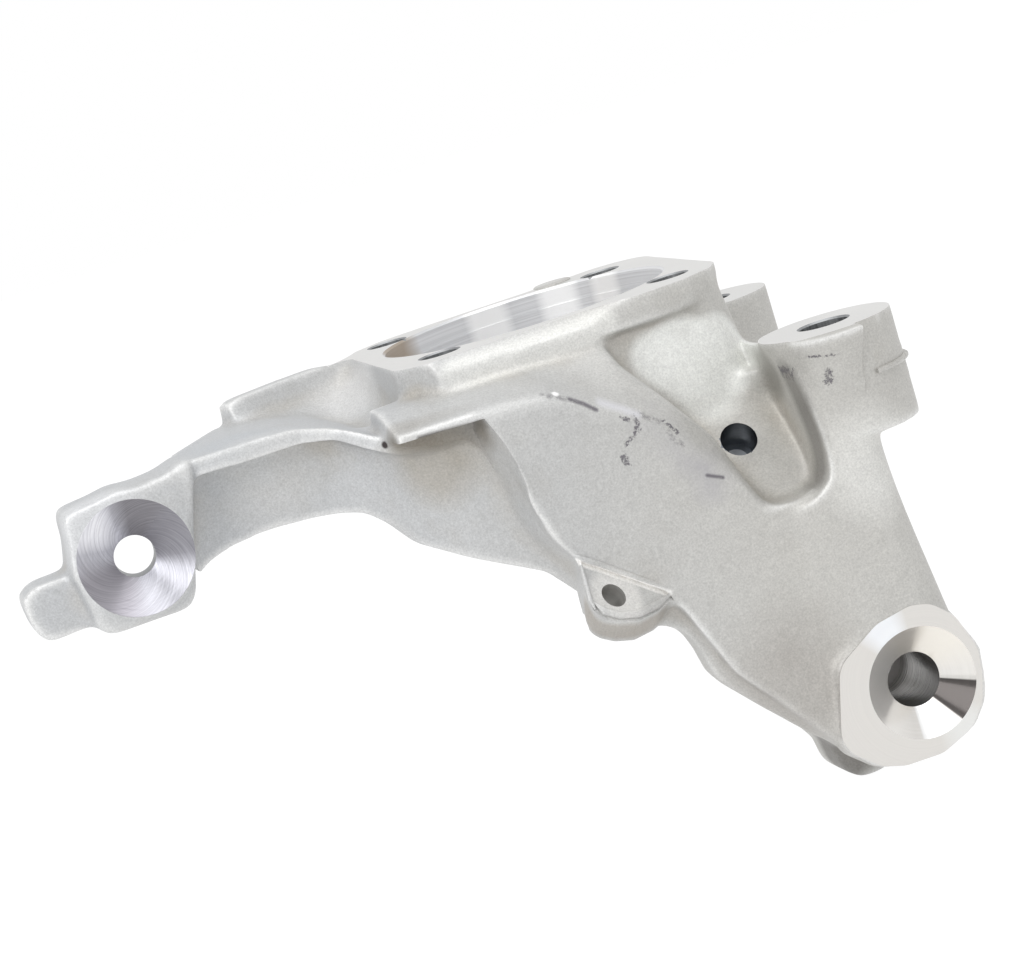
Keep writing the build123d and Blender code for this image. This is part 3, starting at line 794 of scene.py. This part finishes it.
def flange_kinds(kind, fc, fn):
    kind[near(fc[:, 2], 0) & (fn[:, 2] > 0.99) & (np.abs(fc[:, 0]) < FLANGE_MILL[1])] = MILLED
    d, r = along(fc, (0, 0, 0), UP)
    walls = near(r, SEAT_R, NEAR_WALL) | near(r, LEAD_R, NEAR_WALL) | near(r, SHOULDER_R, NEAR_WALL)
    ledges = near(d, SEAT_LOW) | near(d, LEAD_LOW) | within(d, -0.72, -0.01)
    kind[(r < LEAD_R + 1.2) & (d > -60) & (walls | ledges)] = BORE
    for at in hub_places():
        d, r = along(fc, at, UP)
        kind[(r < HUB_R + 0.02) & (d > HUB_LOW) | (r < HUB_R + 0.75) & within(d, -0.52, -0.01)] = DRILLED


def ear_kinds(kind, fc, fn):
    for (x, y), radius, depth in EARS:
        d, r = along(fc, (x, y, EAR_Z), UP)
        kind[(r < radius + EAR_FACE_OVER) & near(d, 0)] = MILLED
        hole = (r < EAR_HOLE_R + 0.03) & within(d, -depth - EAR_OVER, 0)
        kind[hole | (r < EAR_HOLE_R + 0.7) & within(d, -0.62, -0.01)] = DRILLED


def ball_kinds(kind, fc, fn):
    d, r = along(fc, BALL, AHEAD)
    cone_low = -BALL_CONE_DEPTH - 0.01
    kind[(r < BALL_FACE_R) & near(d, 0)] = BOSS_FACE
    kind[(r < BALL_CONE_R) & within(d, cone_low, -0.001)] = BALL_SEAT
    kind[(r < BALL_HOLE_R + 0.02) & within(d, BALL_LOW - 2, cone_low)] = STUD_BORE


def rod_kinds(kind, fc, fn):
    d, r = along(fc, ROD, ROD_AXIS)
    cone_low = -ROD_CONE_DEPTH - ROD_SINK
    slope = (ROD_CONE_R - ROD_HOLE_R) / ROD_CONE_DEPTH
    rim = ROD_CONE_R + np.minimum(d + ROD_SINK, 0) * slope
    side_on = np.abs(fn @ np.array(Vector(ROD_AXIS).normalized(), np.float32)) < 0.35
    cone_wall = (d < -ROD_SINK) | side_on
    kind[within(d, cone_low - 0.01, ROD_CLEAR) & near(r, rim, NEAR_RIM) & cone_wall] = ROD_SEAT
    kind[(r < ROD_HOLE_R + 0.02) & within(d, ROD_LOW, cone_low)] = DRILLED


def hole_kinds(kind, fc, fn):
    d, r = along(fc, SENSOR, sensor_axis)
    outer = near(r, SENSOR_R) & (d > -SENSOR_STEP - 0.05)
    ledge = (r < SENSOR_R) & near(d, -SENSOR_STEP)
    inner = near(r, SENSOR_INNER_R) & (d < -SENSOR_STEP)
    kind[(outer | ledge | inner) & within(d, -SENSOR_DEEP - 0.1, HOLE_CLEAR)] = SENSOR_BORE
    d, r = along(fc, tab_hole_at, TAB_NORMAL)
    kind[near(r, TAB_HOLE_R) & (np.abs(d) < -TAB_LOW)] = CLEAN_HOLE


def clamp_kinds(kind, fc, fn):
    d, r = along(fc, CLAMP, (0, 1, 0))
    kind[(d > CLAMP_Y[0] - 1) & near(r, CLAMP_R, 0.05)] = BORE
    d, r = along(fc, PINCH, ACROSS)
    kind[(np.abs(d - CLAMP[0]) < 22) & near(r, PINCH_R)] = DRILLED


def face_kinds(mesh):
    """Finish of every face, told by where it lies on the machined features."""
    fc = read(mesh.polygons, "center", 3).astype(float) / MM
    fn = read(mesh.polygons, "normal", 3)
    kind = np.full(len(fc), CAST, np.int32)
    for mark in (flange_kinds, ear_kinds, ball_kinds, rod_kinds, hole_kinds, clamp_kinds):
        mark(kind, fc, fn)
    return kind


def on_tab(mesh):
    """Whether each vertex lies on the tab, in the tab's own directions."""
    q = coords(mesh) / MM - np.array(TAB_ORIGIN)
    a, c, d = (q @ np.array(way) for way in (tab_x, tab_y, tab_n))
    return within(a, -1, 32.5) & within(c, -25, -0.5) & within(d, -14, 2)


def carry_bend(mesh, dense_co, layers):
    """Bend of the smoothed skin at each final vertex, as attributes; crisp forms get none."""
    tree = KDTree(len(dense_co))
    for i, p in enumerate(dense_co.tolist()):
        tree.insert(p, i)
    tree.balance()
    found = [tree.find(v.co)[1:] for v in mesh.vertices]
    index = np.array([i for i, _ in found])
    close = np.array([gap for _, gap in found]) < CARRY_REACH * MM
    close &= ~on_tab(mesh)
    for name, values in layers.items():
        layer = mesh.attributes.new(name, "FLOAT", "POINT")
        layer.data.foreach_set("value", np.where(close, values[index], 0).astype(np.float32))


# ---- the casting
blank = cast_blank()
chamfer_band(blank.data)
soften(blank.data)
rounds, wide_rounds = BEND_ROUNDS
skin_co = coords(blank.data)
skin_bend = {"bend": bend(blank.data, rounds), "bend_wide": bend(blank.data, wide_rounds)}
thin_out(blank)
add_crisp_forms(blank)
for machine in (machine_flange, machine_ears, machine_joint_seats, machine_small_holes, machine_clamp):
    machine(blank)
hold_in_box(blank.data)
kind = face_kinds(blank.data)
carry_bend(blank.data, skin_co, skin_bend)


# ---- shader helpers
PER_MM = 1000  # shader coordinates are metres


class Graph:
    """Adds shader nodes; a given socket is linked, any other value is set."""

    def __init__(self, nt):
        self.nt = nt
        self.here = self.node("TexCoord", {}, "Object")

    def put(self, node, inputs):
        for key, value in inputs.items():
            if isinstance(value, bpy.types.NodeSocket):
                self.nt.links.new(value, node.inputs[key])
            elif value is not None:
                node.inputs[key].default_value = value

    def node(self, kind, inputs, out=0, **settings):
        n = self.nt.nodes.new("ShaderNode" + kind)
        for key, value in settings.items():
            setattr(n, key, value)
        self.put(n, inputs)
        return n.outputs[out]

    def surface(self, inputs):
        self.put(self.nt.nodes["Principled BSDF"], inputs)

    def attribute(self, name):
        return self.node("Attribute", {}, "Fac", attribute_name=name)

    def noise(self, scale, detail=4, rough=0.55, vector=None, distortion=0):
        return self.node("TexNoise", {"Scale": scale, "Detail": detail, "Roughness": rough,
                                      "Distortion": distortion, "Vector": vector or self.here}, "Fac")

    def span(self, value, low, high, out_low=0, out_high=1):
        """Value carried from low..high to out_low..out_high, held at both ends."""
        return self.node("MapRange", {"Value": value, "From Min": low, "From Max": high,
                                      "To Min": out_low, "To Max": out_high}, "Result")

    def math(self, op, a, b=None, clamp=False):
        return self.node("Math", {0: a, 1: b}, operation=op, use_clamp=clamp)

    def chain(self, op, values):
        return reduce(lambda a, b: self.math(op, a, b), values)

    def times(self, *values):
        return self.chain("MULTIPLY", values)

    def largest(self, *values):
        return self.chain("MAXIMUM", values)

    def mix(self, share, a, b, blend="MIX"):
        a, b = ((*v, 1) if isinstance(v, tuple) else v for v in (a, b))
        return self.node("Mix", {0: share, 6: a, 7: b}, 2, data_type="RGBA", blend_type=blend)

    def tint(self, colour, value, low, high):
        """Colour multiplied by a tone between low and high."""
        return self.mix(1, colour, self.mix(self.span(value, 0.3, 0.7), low, high), blend="MULTIPLY")

    def bump(self, height, strength, distance, normal=None):
        return self.node("Bump", {"Strength": strength, "Distance": distance, "Height": height,
                                  "Normal": normal}, "Normal")

    def combine(self, x, y, z):
        return self.node("CombineXYZ", {0: x, 1: y, 2: z})

    def vector(self, op, a, b, out="Vector"):
        return self.node("VectorMath", {0: a, 1: b}, out, operation=op)

    def offset(self, centre):
        return self.vector("SUBTRACT", self.here, Vector(centre) * MM)

    def lead(self, offset, axis):
        """How far an offset reaches along an axis, in mm."""
        return self.times(self.vector("DOT_PRODUCT", offset, axis, "Value"), PER_MM)

    def distance(self, centre):
        return self.times(self.vector("DISTANCE", self.here, Vector(centre) * MM, "Value"), PER_MM)

    def axis_coords(self, centre, axis):
        """Distance from an axis and along it in mm, and the angle round it."""
        a, u, v = basis(axis)
        off = self.offset(centre)
        x, y, d = (self.lead(off, w) for w in (u, v, a))
        r = self.math("SQRT", self.math("ADD", self.times(x, x), self.times(y, y)))
        return r, d, self.math("ARCTAN2", y, x)

    def leg_gap(self, a, b, flat):
        """Distance in mm from one straight leg of a path; flat leaves out y."""
        off, run = self.offset(a), b - a
        if flat:
            off = self.vector("MULTIPLY", off, (1, 0, 1))
            run = Vector((run.x, 0, run.z))
        share = self.vector("DOT_PRODUCT", off, run.normalized(), "Value")
        share = self.math("MULTIPLY", share, PER_MM / run.length, clamp=True)
        foot = self.node("VectorMath", {0: run * MM, "Scale": share}, operation="SCALE")
        return self.times(self.vector("DISTANCE", off, foot, "Value"), PER_MM)

    def near_line(self, path, reach, soft, flat=True):
        """1 within reach mm of a path, falling to 0 over soft mm; flat paths are (x, z) on the front."""
        pts = [Vector((p[0], 0, p[1]) if flat else p) for p in path]
        gap = self.chain("MINIMUM", [self.leg_gap(a, b, flat) for a, b in zip(pts, pts[1:])])
        out = self.span(gap, reach, reach + soft, 1, 0)
        return self.times(out, self.span(self.lead(self.here, AHEAD), *FRONT_SKIN)) if flat else out

    def sector(self, centre, r, way, narrow, wide):
        """1 where the direction from the centre is close to way, else 0; both ends are cosines."""
        lead = self.lead(self.offset(centre), Vector(way).normalized())
        return self.span(self.math("DIVIDE", lead, r), wide, narrow)


def material(name):
    mat = bpy.data.materials.new(name)
    mat.use_nodes = True
    return mat, Graph(mat.node_tree)


# ---- marks on the cast skin
FRONT_SKIN = (70, 74)  # mm ahead of the bore's axis, where flat marks fade in
# Scuffs on the front skin, each a path, its half width and its soft edge in mm
SCUFF_LINES = [
    ([(-12.9, -20.2), (-9.5, -22.6), (-6.5, -25.5)], 0.25, 0.7),
    ([(19, -54), (23.5, -56.2)], 0.2, 0.6)]
SCUFFS_THIN = [
    ([(5.8, -31), (9.3, -33.9), (11.9, -35.6), (12.3, -39.9), (14.8, -43.2)], 0.25, 1),
    ([(-20, -16.7), (-12.7, -20.3)], 0.2, 0.9)]
CLUMPS = [
    ([(-0.4, -29.6), (1.7, -31.2)], 0.2, 1.4),
    ([(12.1, -35.2), (13.2, -37), (14.5, -39.3)], 0.35, 1.3),
    ([(3.6, -31.2), (4, -33.8), (1.6, -35.4), (-1, -37.6)], 0.35, 2),
    ([(-3.5, -40.7), (-2.8, -42.9)], 0.4, 2.4),
    ([(51.2, -32.3), (51, -35)], 0.8, 2.4),
    ([(59.3, -35.1), (59.2, -37.5)], 0.8, 2.4),
    ([(55.3, -28.9), (62.9, -30.5)], 0.1, 1.2)]
LIP_CLUMP = ([(-63.7, -68.4, -8.9), (-58.5, -62.1, -8.9), (-52.5, -64.5, -8.9)], 0.5, 1.8)
HAZE = ([(7.3, -33), (11.9, -40.7), (15.2, -46.4), (19.2, -51.2), (19.6, -57.2)], 1, 7)
# Painted highlight along the crest: path, half width, soft edge
SHINE = ([(-4.4, -23.9), (1.3, -27.9), (5.1, -30.8)], 0.2, 1.6)
# Small spots: centre, radius, colour; the white ones are painted glints
PAINTED_GLINT, BLACK_SPOT = (1, 1, 1), (0.06, 0.05, 0.05)
SPOTS = [((-16, -76.4, -17), 0.9, PAINTED_GLINT), ((-65.3, -58.2, -18), 0.8, BLACK_SPOT),
         ((-57.5, -62.8, -8.9), 0.5, PAINTED_GLINT), ((-61.7, -64.8, -8.9), 0.5, PAINTED_GLINT)]
SPOT_SOFT = 0.6

# Strips of painted shade and painted light: path, half width, soft edge, amount, whether uneven, colour
tab_crease = [tuple(tab_point(x, y)) for x, y in ((0.5, -2.1), (7.4, -1.8), (20.2, -2.1), (29.5, -2.3))]
PAINTED_SHADE_AND_LIGHT = [
    ([(52.2, -79, -36), (53.1, -80.5, -44), (53.6, -81, -54), (51.6, -79.5, -64)],  # left flank of the rib, painted shade in its groove
     3.2, 5, 0.8, False, (0.24, 0.23, 0.215)),
    ([(-62, -66, -20), (-42, -70, -21.5)], 3.5, 5.5, 0.85, True, (0.26, 0.23, 0.185)),  # under the lip, brownish painted shade
    ([(-28.5, -84.7, -81.2), (-22, -86, -87), (-8.6, -80, -89.7)],  # lower wall of the tab, painted shade
     3.8, 3, 0.8, True, (0.38, 0.345, 0.3)),
    # painted light along the tab's top crease, against its real shade
    (tab_crease, 1.1, 0.7, 1, False, (0.95, 0.94, 0.92)),
    ([(-58, -74.8, -17.4), (-40.5, -78, -18)], 0.5, 0.9, 0.85, False, (0.1, 0.09, 0.08)),  # behind the lip, painted shade in the crease
    ([(-38, -57, -5), (-10, -57.3, -5.5), (8, -57.3, -5.5)],  # slope of the flange, painted light as if lit from above
     3.5, 3, 0.55, False, (0.84, 0.84, 0.81))]

# Broad tones, some of them painted shade or painted light as noted: centre, full radius, soft edge, colour,
# amount
TONES = [
    ((22, -54, -19.5), 6.5, 3.5, (0.87, 0.88, 0.855), 0.95),
    ((30, -54, -22), 10, 3.5, (0.87, 0.88, 0.855), 0.95),
    ((42, -53, -25), 9.5, 3.5, (0.87, 0.88, 0.855), 0.95),
    ((35, -54.5, -32), 7, 5, (0.85, 0.86, 0.83), 0.9),
    ((66, -90, -66), 7, 12, (0.8, 0.8, 0.775), 0.7),
    # stain and painted shade on the leg near the ball boss
    ((26, -84, -122), 10, 20, (0.44, 0.42, 0.395), 0.85),
    # brownish painted shade under the shelf
    ((-54, -60, -27), 8, 9, (0.42, 0.39, 0.34), 0.85),
    ((-104, -34, -8), 8, 10, (0.5, 0.54, 0.58), 0.3),
    ((-98, -46, -22), 8, 12, (0.74, 0.735, 0.72), 0.75),
    ((-56, 8, -8), 10, 10, (0.74, 0.74, 0.74), 0.75),
    ((-152, -50, -14), 9, 8, (0.76, 0.77, 0.79), 0.7),
    # painted light: the tab's face lighter as if lit from above
    (tuple(tab_point(14, -10.5)), 7, 3, (0.8, 0.79, 0.765), 0.8),
    ((36, -68, -152), 9, 5, (0.17, 0.16, 0.148), 0.92),
    # painted shadow at the pocket's top, under the near ear's overhang
    ((50.8, -62, -34.5), 3, 6, (0.28, 0.27, 0.245), 0.85)]
TONE_WANDER = 3  # mm that a tone's edge wanders

# Colours of the cast skin
COOL_SKIN, WARM_SKIN = (0.535, 0.548, 0.565), (0.55, 0.541, 0.515)
COOL_TO_WARM = (-70, 30)  # x, mm
PALE_CLOUD, DULL_CLOUD = (0.61, 0.605, 0.585), (0.46, 0.45, 0.43)
# Hollow colours: stain and painted shade in the hollows; the bright edge colour: painted highlight on outer
# edges
HOLLOW_STAIN_AND_SHADE, HOLLOW_DIRT_AND_SHADE, EDGE_HIGHLIGHT = (0.5, 0.46, 0.39), (0.36, 0.33, 0.29), (0.88, 0.88, 0.87)
# the shine tone is a painted highlight
HAZE_TONE, SHINE_TONE, SCUFF_TONE = (0.44, 0.43, 0.46), (0.78, 0.78, 0.85), (0.135, 0.125, 0.145)


def grey(value):
    return (value, value, value)


def skin_colour(g, broad, mid):
    """Clouded skin, cooler on the arm's side, with hollows darkened by stain and painted shade and outer
    edges lightened by a painted highlight.
    """
    hollow = g.span(g.attribute("bend"), 0.004, 0.05)
    edge = g.span(g.attribute("bend"), -0.008, -0.06)
    wide_hollow = g.span(g.attribute("bend_wide"), 0.001, 0.016)
    base = g.mix(g.span(g.lead(g.here, ACROSS), *COOL_TO_WARM), COOL_SKIN, WARM_SKIN)
    base = g.mix(g.times(g.span(broad, 0.35, 0.65), 0.5), base, PALE_CLOUD)
    base = g.mix(g.times(g.span(mid, 0.52, 0.75), 0.35), base, DULL_CLOUD)
    # stain and painted shade in wide and tight hollows
    base = g.mix(g.times(wide_hollow, g.span(mid, 0.3, 0.7), 0.45), base, HOLLOW_STAIN_AND_SHADE)
    base = g.mix(g.times(hollow, 0.35), base, HOLLOW_DIRT_AND_SHADE)
    # painted highlight on outer edges
    return g.mix(g.times(edge, 0.6), base, EDGE_HIGHLIGHT)


def add_tones(g, base, broad, mid):
    """Broad tones, some of them painted shade or painted light, and strips of painted shade and painted
    light, their edges and strength made uneven by the skin's clouds.
    """
    uneven = g.span(mid, 0.3, 0.7, 0.72, 1)
    wander = g.span(broad, 0.3, 0.7, -TONE_WANDER, TONE_WANDER)
    for centre, full, soft, colour, amount in TONES:
        patch = g.span(g.math("ADD", g.distance(centre), wander), full, full + soft, amount, 0)
        base = g.mix(g.times(patch, uneven), base, colour)
    for path, reach, soft, amount, ragged, colour in PAINTED_SHADE_AND_LIGHT:
        share = g.times(g.near_line(path, reach, soft, flat=False), amount)
        base = g.mix(g.times(share, uneven) if ragged else share, base, colour)
    return base


# Painted highlights: the shine along the crest and the white spots; the haze and the black spot are dull
# marks
def add_glints(g, base, mid):
    base = g.mix(g.times(g.near_line(*HAZE), g.span(mid, 0.35, 0.65), 0.6), base, HAZE_TONE)
    base = g.mix(g.times(g.near_line(*SHINE), 0.4), base, SHINE_TONE)
    for place, radius, tone in SPOTS:
        base = g.mix(g.span(g.distance(place), radius, radius + SPOT_SOFT, 1, 0), base, tone)
    return base


def scuffs(g):
    """Share of the skin that is scuffed dark: ragged clumps, thin scratches and two plain dents."""
    ragged = g.noise(620, 5, 0.85, distortion=0.3)
    clumps = g.largest(*(g.near_line(*mark) for mark in CLUMPS), g.near_line(*LIP_CLUMP, flat=False))
    clumps = g.span(g.math("ADD", g.times(clumps, 0.32), ragged), 0.77, 0.84)
    thin = g.largest(*(g.near_line(*mark) for mark in SCUFFS_THIN))
    thin = g.times(thin, g.span(ragged, 0.45, 0.55), 0.6)
    lines = g.largest(*(g.near_line(*mark) for mark in SCUFF_LINES))
    return g.largest(clumps, thin, g.times(lines, g.span(ragged, 0.3, 0.45)))


def cast_material():
    mat, g = material("cast_aluminium")
    broad = g.noise(13, 3, 0.5)
    mid = g.noise(55, 4, 0.6)
    fine = g.noise(520, 3, 0.65)
    grain = g.noise(1700, 2, 0.7)
    base = add_tones(g, skin_colour(g, broad, mid), broad, mid)
    base = g.tint(base, fine, grey(0.94), grey(1.05))
    base = g.tint(base, grain, grey(0.86), grey(1.1))
    base = add_glints(g, base, mid)
    scuff = scuffs(g)
    normal = g.bump(mid, 0.25, 0.0006)
    normal = g.bump(fine, 0.45, 0.00016, normal)
    normal = g.bump(grain, 0.4, 0.00007, normal)
    g.surface({"Base Color": g.mix(g.times(scuff, 0.85), base, SCUFF_TONE),
               "Metallic": 0.45,
               "Specular IOR Level": 0.4,
               "Roughness": g.span(fine, 0.3, 0.7, 0.42, 0.58),
               "Normal": g.bump(scuff, 0.5, -0.0004, normal)})
    return mat


# ---- machined finishes
MILL_CENTRE = (140, -40, 0)  # the cutter's arcs run round this place
MILL_DULL, MILL_BRIGHT = (0.78, 0.775, 0.76), (0.86, 0.855, 0.84)
MARK_DEPTH = 0.00004  # metres


def milled_material():
    mat, g = material("milled_aluminium")
    r, _, _ = g.axis_coords(MILL_CENTRE, UP)
    marks = g.noise(1, 2, 0.6, g.combine(g.times(r, 3), 0, 0))
    cloud = g.noise(40, 3, 0.5)
    g.surface({"Base Color": g.mix(cloud, MILL_DULL, MILL_BRIGHT),
               "Metallic": 0.8,
               "Roughness": g.span(cloud, 0.3, 0.7, 0.28, 0.36),
               "Normal": g.bump(marks, 0.25, MARK_DEPTH)})
    return mat


def turned_material(name, centre, axis, rough, mark, base, use_d=False, metallic=1, sectors=(), spiral=0,
                    fade=0.82):
    """Tool marks in rings, a spiral or along a bore, with sectors of painted highlights and painted
    reflections.
    """
    mat, g = material(name)
    r, d, turn = g.axis_coords(centre, axis)
    key = d if use_d else r
    lead = g.times(turn, spiral) if spiral else 0
    stroke = g.math("ADD", g.times(key, 2 if spiral else 9), lead)
    fine = g.noise(1, 3, 0.7, g.combine(stroke, g.times(turn, 0.35), 0))
    coarse = g.noise(1, 2, 0.6, g.combine(g.times(key, 1.6), g.times(turn, 0.25), 3))
    colour = g.mix(g.span(coarse, 0.35, 0.65), tuple(fade * c for c in base), base)
    for way, narrow, wide, tone, amount in sectors:
        colour = g.mix(g.times(g.sector(centre, r, way, narrow, wide), amount), colour, tone)
    if spiral:
        colour = g.tint(colour, fine, (0.7, 0.7, 0.72), (1.1, 1.1, 1.12))
    g.surface({"Base Color": colour,
               "Metallic": metallic,
               "Roughness": g.span(coarse, 0.3, 0.7, rough * 0.8, rough * 1.3),
               "Normal": g.bump(fine, mark, MARK_DEPTH)})
    return mat


# Sectors of a turned face, painted highlights and painted dark reflections apart from the bore's brown band:
# direction, cosine at the full edge, cosine at the soft edge, colour, amount
BALL_PAINTED_REFLECTIONS = [
    ((0.35, 0, 0.94), 0.8, 0.3, (0.88, 0.84, 0.77), 0.8),
    ((-0.9, 0, 0.1), 0.8, 0.3, (0.97, 0.95, 0.92), 0.9),
    ((0.788, 0, -0.616), 0.938, 0.925, (0.05, 0.042, 0.04), 0.95),
    ((0.07, 0, -0.998), 0.95, 0.935, (0.97, 0.97, 0.97), 1)]
ROD_PAINTED_REFLECTIONS = [
    ((0.575, 0, 0.818), 0.88, 0.6, (0.25, 0.24, 0.25), 0.85),
    ((0.98, 0, 0.2), 0.92, 0.75, (0.34, 0.335, 0.36), 0.85),
    ((-0.8, 0, -0.6), 0.9, 0.6, (0.42, 0.4, 0.43), 0.8),
    ((-0.633, 0, 0.774), 0.97, 0.85, (0.98, 0.98, 1), 0.95)]
BOSS_PAINTED_HIGHLIGHTS = [
    ((-0.35, 0, 0.94), 0.99, 0.93, (0.9, 0.92, 0.95), 0.95),
    ((0.45, 0, -0.89), 0.99, 0.9, (0.84, 0.85, 0.84), 0.7)]
# the bore's three white sectors are painted highlights; its last sector is a dark brown band
BORE_SECTORS = [
    ((-0.03, 1, 0), 0.995, 0.983, (1, 1, 1), 1),
    ((0.49, 0.87, 0), 0.996, 0.985, (1, 1, 1), 1),
    ((0.78, 0.62, 0), 0.998, 0.99, (1, 1, 1), 1),
    ((-0.85, 0.52, 0), 0.985, 0.93, (0.4, 0.32, 0.24), 0.9)]


def finishes():
    """One material for each finish, in the order of the finish numbers."""
    return [
        cast_material(),
        milled_material(),
        turned_material("bored_seat", (0, 0, 0), UP, 0.36, 0.2, (0.8, 0.805, 0.82), use_d=True,
            metallic=0.5, sectors=BORE_SECTORS),
        turned_material("turned_ball_seat", BALL, AHEAD, 0.14, 0.07, (0.8, 0.78, 0.75), metallic=0.65,
            sectors=BALL_PAINTED_REFLECTIONS, fade=0.94),
        turned_material("turned_rod_seat", ROD, ROD_AXIS, 0.34, 0.5, (0.66, 0.66, 0.7),
            sectors=ROD_PAINTED_REFLECTIONS, spiral=14),
        turned_material("drilled_hole", ROD, ROD_AXIS, 0.4, 0.1, (0.4, 0.41, 0.42)),
        # the sensor bore's dark base colour is painted shade inside the hole
        turned_material("sensor_bore", SENSOR, sensor_axis, 0.35, 0.3, (0.2, 0.215, 0.235), use_d=True),
        turned_material("clean_hole", tab_hole_at, TAB_NORMAL, 0.5, 0.3, (0.46, 0.45, 0.43), use_d=True,
            metallic=0.5),
        turned_material("boss_face", BALL, AHEAD, 0.42, 0.02, (0.76, 0.74, 0.71), metallic=0.7,
            sectors=BOSS_PAINTED_HIGHLIGHTS, fade=0.95),
        turned_material("stud_bore", BALL, AHEAD, 0.3, 0.6, (0.46, 0.45, 0.44), use_d=True, fade=0.5)]


def dress(obj, kind):
    mesh = obj.data
    mesh.materials.clear()
    for mat in finishes():
        mesh.materials.append(mat)
    mesh.polygons.foreach_set("material_index", kind)
    mesh.polygons.foreach_set("use_smooth", np.ones(len(kind), bool))
    mesh.set_sharp_from_angle(angle=math.radians(38))
    mesh.update()


dress(blank, kind)
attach(blank, "root")
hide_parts("knuckle")


# ---- floor, lights, background
FLOOR_HALF, FLOOR_GAP = 4, 0.0005  # metres
FLOOR_GLOW = 1.1
FLOOR_PLAIN = 0.12  # share of the floor that takes light and shadow
FLOOR_COLOUR = (0.85, 0.85, 0.85, 1)
WORLD_LIGHT = 0.8
WHITE = (1, 1, 1, 1)
# Lamps: name, place, size, power
LAMPS = [("overhead", (0.05, -0.35, 1.25), (1.4, 1.4), 7),
         ("left_soft", (-1.1, -0.9, 0.7), (0.9, 0.9), 7)]


def seen_directly(g, *kinds):
    return g.largest(*(g.node("LightPath", {}, kind) for kind in kinds))


def blend_shaders(g, share, first, second, output):
    both = g.node("MixShader", {0: share, 1: first, 2: second})
    g.put(g.nt.nodes[output], {"Surface": both})


def add_floor():
    corners = [(x, y, 0) for x, y in oblong(-FLOOR_HALF, FLOOR_HALF, -FLOOR_HALF, FLOOR_HALF)]
    floor = new_object("floor", corners, [(0, 1, 2, 3)])
    floor.location.z = cad_lo.z - FLOOR_GAP
    mat, g = material("floor_pale")
    g.surface({"Base Color": FLOOR_COLOUR, "Roughness": 0.7, "Specular IOR Level": 0.2})
    plain = g.nt.nodes["Principled BSDF"].outputs[0]
    glow = g.node("Emission", {"Color": WHITE, "Strength": FLOOR_GLOW})
    direct = seen_directly(g, "Is Camera Ray", "Is Glossy Ray", "Is Transmission Ray")
    blend_shaders(g, g.times(direct, 1 - FLOOR_PLAIN), plain, glow, "Material Output")
    floor.data.materials.append(mat)


def add_world():
    """Soft light all round, and plain white where the camera sees past the floor."""
    world = bpy.data.worlds.new("studio")
    scene.world = world
    world.use_nodes = True
    g = Graph(world.node_tree)
    light = g.nt.nodes["Background"]
    g.put(light, {"Color": WHITE, "Strength": WORLD_LIGHT})
    seen = g.node("Background", {"Color": WHITE, "Strength": 1})
    direct = seen_directly(g, "Is Camera Ray", "Is Transmission Ray")
    blend_shaders(g, direct, light.outputs[0], seen, "World Output")


def add_lamp(name, place, size, power, target):
    data = bpy.data.lights.new(name, "AREA")
    data.energy = power
    data.shape = "RECTANGLE"
    data.size, data.size_y = size
    obj = add_object(name, data)
    obj.location = place
    obj.rotation_mode = "QUATERNION"
    obj.rotation_quaternion = (Vector(place) - Vector(target)).to_track_quat("Z", "Y")


add_camera()
add_floor()
add_world()
for lamp in LAMPS:
    add_lamp(*lamp, target=(cad_lo + cad_hi) / 2)

scene.view_settings.view_transform = "Standard"
